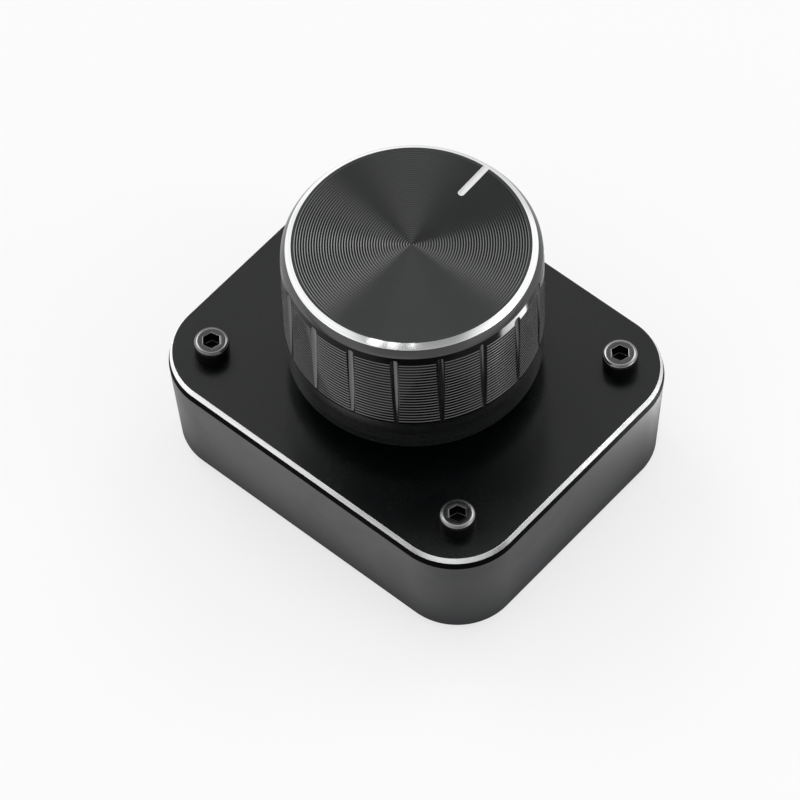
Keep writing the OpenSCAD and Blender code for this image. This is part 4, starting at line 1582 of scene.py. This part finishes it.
@dataclass
class Inside:
    """The pieces inside: most keep their CAD shape, and the switch's dome is pressed anew.

    Attributes:
        dome_sheet: Thickness of the dome in mm.
        dome_steps, dome_turns: Steps along its section, and round its axis.
        dome_smooth: Angle in degrees that stays sharp on it.
        press: How far the knob is pressed, in mm. Not used.
        weld_gap, corner_angle: Gap in mm that is welded, and angle in degrees that stays a corner.
        finishes: The finish of each piece that keeps its shape.
    """

    dome_sheet: float = 0.1
    dome_steps: int = 8
    dome_turns: int = 64
    dome_smooth: float = 30.0
    press: float = 0.5
    weld_gap: float = 0.0005
    corner_angle: float = 28.0
    finishes: dict[str, Finish] = field(
        default_factory=lambda: {
            "circuit_board": MASK_GREEN,
            "board_screws": ZINC,
            "usb_shell": TIN,
            "usb_tongue": CHIP_BLACK,
            "usb_contacts": GOLD,
            "controller_chip": CHIP_BLACK,
            "controller_leads": TIN,
            "clock_crystal": TIN,
            "voltage_regulator": CHIP_BLACK,
            "capacitors": CERAMIC,
            "resistors": CHIP_BLACK,
            "encoder_base": MOULDING,
            "encoder_frame": ZINC,
            "encoder_pins": TIN,
            "encoder_bushing": TURNED_ZINC,
            "detent_spring": SPRING,
            "encoder_rotor": MOULDING,
            "wiper_brush": GOLD,
            "switch_plunger": RUBBER,
            "lock_washer": TURNED_ZINC,
            "mounting_nut": TURNED_ZINC,
            "encoder_shaft": TURNED_ZINC,
            "shaft_clip": SPRING,
            "set_screw": SCREW_BLACK,
        }
    )

    def dome(self) -> bpy.types.Object:
        """Press the thin cap under the plunger anew.

        Returns:
            The cap, in place of its CAD node.
        """
        low, high = (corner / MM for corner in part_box("switch_dome"))
        rise = high.z - low.z
        ball = (rise * rise + high.x * high.x) / (2 * rise)
        middle = high.z - ball
        steps = range(self.dome_steps + 1)
        outline = []
        for radius, numbers in ((ball, steps), (ball - self.dome_sheet, reversed(steps))):
            full = math.acos((low.z - middle) / radius)
            angles = [full * number / self.dome_steps for number in numbers]
            outline += [(radius * math.sin(a), middle + radius * math.cos(a)) for a in angles]
        dome = Bench.turned("pressed_dome", outline, self.dome_turns)
        dome.data.materials.append(SPRING.material())
        Bench.smooth(dome, self.dome_smooth)
        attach(dome, Body.CASE.value)
        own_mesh(dome)
        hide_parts("switch_dome")
        return dome

    def dress(self) -> int:
        """Finish each kept piece and shade it smooth but for its corners.

        Returns:
            How many pieces were finished.
        """
        for name, finish in self.finishes.items():
            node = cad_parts[name]
            node.data.materials.clear()
            node.data.materials.append(finish.material())
            for face in node.data.polygons:
                face.use_smooth = True
            weld = node.modifiers.new("weld", "WELD")
            weld.merge_threshold = self.weld_gap * MM
            split = node.modifiers.new("corners", "EDGE_SPLIT")
            split.split_angle = math.radians(self.corner_angle)
        return len(self.finishes)


# ---------------------------------------------------------------- the studio


@dataclass
class Studio:
    """The pale floor, the soft light and the camera at the photograph's angle.

    Attributes:
        azimuth, elevation, roll: The camera's direction from the object in degrees, and its roll.
        frame_pixels: Width and height of the frame.
        focal_pixels, pixels_per_mm: The lens, and the scale at the lid's top.
        centre: Where the middle of the lid's top lies in the frame, in pixels.
        lid_top, aim_rise: Height in mm of the lid's top, and what the camera's distance adds above it.
        clip: Nearest and farthest that the camera sees, in metres.
        world: Brightness of the tent.
        near_reach, near_share: Where the tent darkens round the camera, and what is left there.
        wall_reach, wall_glow: Where the side walls start, and what they add.
        strip_reach, strip_start, strip_glow: Half width of the strip behind the object, how far behind
            it starts, and what it adds.
        dark_patches: Turn, height, outer and inner reach in degrees, and depth of each dim patch.
        bright_patches: The same for each lit patch, with its brightness.
        foot_half, foot_round, shade_reach, shade_level: The contact shade that gloss shows on the floor.
        mouth_start, mouth_end, mouth_level: The tent's dark mouth on the floor ahead, in metres.
        floor_span, floor_glow: How the floor's brightness falls from one side to the other.
        floor_size, floor_z, floor_grey: The floor's size in metres, its height in mm, just under the
            feet so that the two never share a plane, and its matt grey.
        seen_share, mirrored_share: How much of the floor glows where it is seen, and where gloss shows it.
        card_ahead, card_aside, card_z, card_size, card_glow: The lit card's place and sizes in mm.
        lamps: Name, turn and height in degrees, sizes in metres and brightness of each soft box.
        lamp_reach: Their distance in metres.
    """

    azimuth: float = 42.76
    elevation: float = 55.3
    roll: float = -2.428
    frame_pixels: int = 800
    focal_pixels: float = 6000.0
    pixels_per_mm: float = 6.55
    centre: Point = (415.8, 357.9)
    lid_top: float = 20.5
    aim_rise: float = 3.0
    clip: Point = (0.05, 20.0)
    world: float = 0.72
    near_reach: Point = (0.80, 0.93)
    near_share: float = 0.5
    wall_reach: Point = (0.45, 0.75)
    wall_glow: float = 0.36
    strip_reach: Point = (0.07, 0.14)
    strip_start: float = 0.2
    strip_glow: float = 0.25
    dark_patches: tuple[Patch, ...] = ((-17, 56, 10.5, 5.5, 0.72), (17, 56, 10.5, 5.5, 0.72))
    bright_patches: tuple[Patch, ...] = (
        (42, 51, 16.5, 9, 3.2),
        (25, 38, 13, 5, 2.0),
        (-43, 50, 16.5, 9, 2.5),
        (0, 55.5, 8, 4, 0.38),
    )
    foot_half: Point = (0.02185, 0.0162)
    foot_round: float = 0.0098
    shade_reach: float = 0.006
    shade_level: float = 0.3
    mouth_start: Point = (0.057, 0.065)
    mouth_end: Point = (0.11, 0.16)
    mouth_level: float = 0.03
    floor_span: Point = (-0.05, 0.05)
    floor_glow: Point = (1.15, 0.75)
    floor_size: float = 6.0
    floor_z: float = -0.02
    floor_grey: float = 0.86
    seen_share: float = 0.7
    mirrored_share: float = 0.9
    card_ahead: float = 13.0
    card_aside: float = 59.0
    card_z: float = 0.5
    card_size: Point = (14.0, 28.0)
    card_glow: float = 26.0
    lamps: tuple[tuple[str, float, float, Point, float], ...] = (
        ("softbox_side", 68, 28, (0.34, 0.3), 2.2),
        ("lamp_far", -35, 50, (0.085, 0.14), 3.0),
        ("lamp_mid", -20, 52, (0.05, 0.14), 3.0),
        ("lamp_near", -3, 52.5, (0.025, 0.1), 3.0),
    )
    lamp_reach: float = 0.9

    def way(self, turn: float, up: float) -> Vector:
        """Give the direction that is turned from the camera's azimuth and so far up, in degrees."""
        az, el = math.radians(self.azimuth + turn), math.radians(up)
        return Vector((math.sin(az) * math.cos(el), -math.cos(az) * math.cos(el), math.sin(el)))

    def camera(self) -> bpy.types.Object:
        """Place the camera where the photograph was taken from.

        Returns:
            The camera.
        """
        back = self.way(0.0, self.elevation)
        az, el, roll = (math.radians(v) for v in (self.azimuth, self.elevation, self.roll))
        right = Vector((math.cos(az), math.sin(az), 0))
        up = back.cross(right)
        side = math.cos(roll) * right + math.sin(roll) * up
        over = -math.sin(roll) * right + math.cos(roll) * up
        reach = self.focal_pixels / self.pixels_per_mm + self.aim_rise * math.sin(el)
        left, drop = ((v - self.frame_pixels / 2) / self.focal_pixels * reach for v in self.centre)
        place = back * reach - side * left + over * drop
        place.z += self.lid_top
        data = bpy.data.cameras.new("camera")
        data.lens = data.sensor_width * self.focal_pixels / self.frame_pixels
        data.clip_start, data.clip_end = self.clip
        camera = bpy.data.objects.new("camera", data)
        turn = Matrix((side, over, back)).transposed().to_4x4()
        camera.matrix_world = Matrix.Translation(place * MM) @ turn
        bpy.context.scene.collection.objects.link(camera)
        bpy.context.scene.camera = camera
        return camera

    def floor_white(self, sheet: Sheet) -> bpy.types.NodeSocket:
        """Work out how bright gloss shows the floor.

        Args:
            sheet: The floor's nodes.

        Returns:
            The brightness: pale, shaded along the case's foot and dark in the tent's mouth.
        """
        place = sheet.add("ShaderNodeTexCoord").outputs["Object"]
        toward = self.way(0.0, 0.0)
        ahead = sheet.vector("DOT_PRODUCT", place, toward)
        aside = sheet.vector("DOT_PRODUCT", place, (-toward.y, toward.x, 0.0))
        near = sheet.ramp(ahead, self.mouth_start)
        far = sheet.ramp(ahead, self.mouth_end, (1.0, 0.0))
        white = sheet.ramp(aside, self.floor_span, self.floor_glow)
        over = sheet.vector("SUBTRACT", sheet.vector("ABSOLUTE", place), (*self.foot_half, 1.0))
        gap = sheet.vector("LENGTH", sheet.vector("MAXIMUM", over, (0.0, 0.0, 0.0)))
        edge = (self.foot_round, self.foot_round + self.shade_reach)
        lit = sheet.maths("MULTIPLY", white, sheet.ramp(gap, edge, (self.shade_level, 1.0)))
        mouth = {"n0": sheet.maths("MULTIPLY", near, far), "n2": lit, "n3": self.mouth_level}
        return sheet.add("ShaderNodeMix", {"data_type": "FLOAT"}, **mouth).outputs[0]

    def floor(self) -> bpy.types.Object:
        """Lay the floor: white where it is seen, with the shadow kept.

        Returns:
            The floor.
        """
        Bench.clear()
        bpy.ops.mesh.primitive_plane_add(size=self.floor_size, location=(0, 0, self.floor_z * MM))
        floor = Bench.named("floor")
        material = bpy.data.materials.new("studio_floor")
        material.use_nodes = True
        sheet = Sheet(material.node_tree)
        shown = self.floor_white(sheet)
        path = sheet.add("ShaderNodeLightPath").outputs
        mirrored = sheet.maths("MAXIMUM", path["Is Glossy Ray"], path["Is Transmission Ray"])
        strength = sheet.add("ShaderNodeMix", {"data_type": "FLOAT"}, n0=mirrored, n2=1.0, n3=shown)
        seen = sheet.maths("MULTIPLY", path["Is Camera Ray"], self.seen_share)
        share = sheet.maths("ADD", seen, sheet.maths("MULTIPLY", mirrored, self.mirrored_share))
        grey = (self.floor_grey, self.floor_grey, self.floor_grey, 1.0)
        matt = sheet.add("ShaderNodeBsdfDiffuse", None, Color=grey)
        glow = sheet.add("ShaderNodeEmission", None, Color=WHITE, Strength=strength.outputs[0])
        mix = sheet.add("ShaderNodeMixShader", None, n0=share, n1=matt.outputs[0], n2=glow.outputs[0])
        end = sheet.add("ShaderNodeOutputMaterial")
        sheet.give(end.inputs["Surface"], mix.outputs[0])
        floor.data.materials.append(material)
        return floor

    def sky(self) -> None:
        """Light the tent evenly, darker round the camera, and white where the camera sees it."""
        world = bpy.data.worlds.new("studio")
        bpy.context.scene.world = world
        world.use_nodes = True
        sheet = Sheet(world.node_tree)
        look = sheet.add("ShaderNodeTexCoord").outputs["Generated"]
        toward = self.way(0.0, 0.0)
        near = sheet.vector("DOT_PRODUCT", look, self.way(0.0, self.elevation))
        level = sheet.ramp(near, self.near_reach, (self.world, self.world * self.near_share))
        aside = sheet.vector("DOT_PRODUCT", look, (-toward.y, toward.x, 0.0))
        aside = sheet.maths("ABSOLUTE", aside)
        wall = sheet.ramp(aside, self.wall_reach, (0.0, self.wall_glow))
        strip = sheet.ramp(aside, self.strip_reach, (self.strip_glow, 0.0))
        behind = sheet.vector("DOT_PRODUCT", look, -toward)
        strip = sheet.maths("MULTIPLY", strip, sheet.maths("GREATER_THAN", behind, self.strip_start))
        total = sheet.maths("ADD", sheet.maths("ADD", level, wall), strip)
        for patch in self.dark_patches:
            kept = sheet.maths("SUBTRACT", 1.0, self.patch(sheet, look, patch))
            total = sheet.maths("MULTIPLY", total, kept)
        for patch in self.bright_patches:
            total = sheet.maths("ADD", total, self.patch(sheet, look, patch))
        seen = sheet.add("ShaderNodeLightPath").outputs["Is Camera Ray"]
        strength = sheet.add("ShaderNodeMix", {"data_type": "FLOAT"}, n0=seen, n2=total, n3=1.0)
        glow = sheet.add("ShaderNodeBackground", None, Color=WHITE, Strength=strength.outputs[0])
        end = sheet.add("ShaderNodeOutputWorld")
        sheet.give(end.inputs["Surface"], glow.outputs[0])

    def patch(self, sheet: Sheet, look: bpy.types.NodeSocket, patch: Patch) -> bpy.types.NodeSocket:
        """Make a soft round patch of the tent.

        Args:
            sheet: The world's nodes.
            look: The direction looked in.
            patch: Its turn from behind the object and its height, where it starts and where it is
                full from its middle, all in degrees, and its value when full.

        Returns:
            The patch's value, 0 outside it.
        """
        turn, up, outer, inner, level = patch
        close = sheet.vector("DOT_PRODUCT", look, self.way(180 + turn, up))
        edges = (math.cos(math.radians(outer)), math.cos(math.radians(inner)))
        return sheet.ramp(close, edges, (0.0, level))

    def card(self) -> bpy.types.Object:
        """Lay a small lit card to the right, which only gloss shows.

        Returns:
            The card.
        """
        Bench.clear()
        toward = self.way(0.0, 0.0)
        right = Vector((-toward.y, toward.x, 0.0))
        place = toward * self.card_ahead + right * self.card_aside + Vector((0, 0, self.card_z))
        turn = (0, 0, math.radians(self.azimuth))
        bpy.ops.mesh.primitive_plane_add(size=MM, location=place * MM, rotation=turn)
        bpy.context.object.scale = (*self.card_size, 1)
        card = Bench.named("lit_card")
        material = bpy.data.materials.new("lit_card")
        material.use_nodes = True
        sheet = Sheet(material.node_tree)
        glow = sheet.add("ShaderNodeEmission", None, Color=WHITE, Strength=self.card_glow)
        end = sheet.add("ShaderNodeOutputMaterial")
        sheet.give(end.inputs["Surface"], glow.outputs[0])
        card.data.materials.append(material)
        card.visible_camera = card.visible_diffuse = card.visible_shadow = False
        return card

    def softbox(self, name: str, turn: float, up: float, size: Point, level: float) -> bpy.types.Object:
        """Hang a soft box that faces the object.

        Args:
            name: Name of the light.
            turn: Where it hangs, in degrees from the camera's azimuth.
            up: How high it hangs, in degrees.
            size: Its two sizes in metres.
            level: Its brightness as seen from the object, where 1 is white.

        Returns:
            The light.
        """
        way = self.way(turn, up)
        data = bpy.data.lights.new(name, "AREA")
        data.shape = "RECTANGLE"
        data.size, data.size_y = size
        data.energy = level * math.pi * size[0] * size[1]
        light = bpy.data.objects.new(name, data)
        light.location = way * self.lamp_reach
        light.rotation_mode = "QUATERNION"
        light.rotation_quaternion = way.to_track_quat("Z", "Y")
        bpy.context.scene.collection.objects.link(light)
        return light

    def build(self) -> None:
        """Set up the view, the floor and the lights."""
        bpy.context.scene.view_settings.view_transform = "Standard"
        self.camera()
        self.floor()
        self.card()
        self.sky()
        for lamp in self.lamps:
            self.softbox(*lamp)


def main() -> None:
    """Dress the model: the studio, the case, the knob and the pieces inside."""
    logging.basicConfig(level=logging.INFO, format="%(name)s: %(message)s")
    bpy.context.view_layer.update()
    Studio().build()
    case = Case()
    for piece in case.build():
        LOG.info("%s: %d faces", piece.name, len(piece.data.polygons))
    knob = Knob().build()
    LOG.info("%s: %d faces", knob.name, len(knob.data.polygons))
    inside = Inside()
    dome = inside.dome()
    LOG.info("%s: %d faces", dome.name, len(dome.data.polygons))
    LOG.info("%d inner pieces finished", inside.dress())
    Bench.clear()


if __name__ == "__main__":
    main()
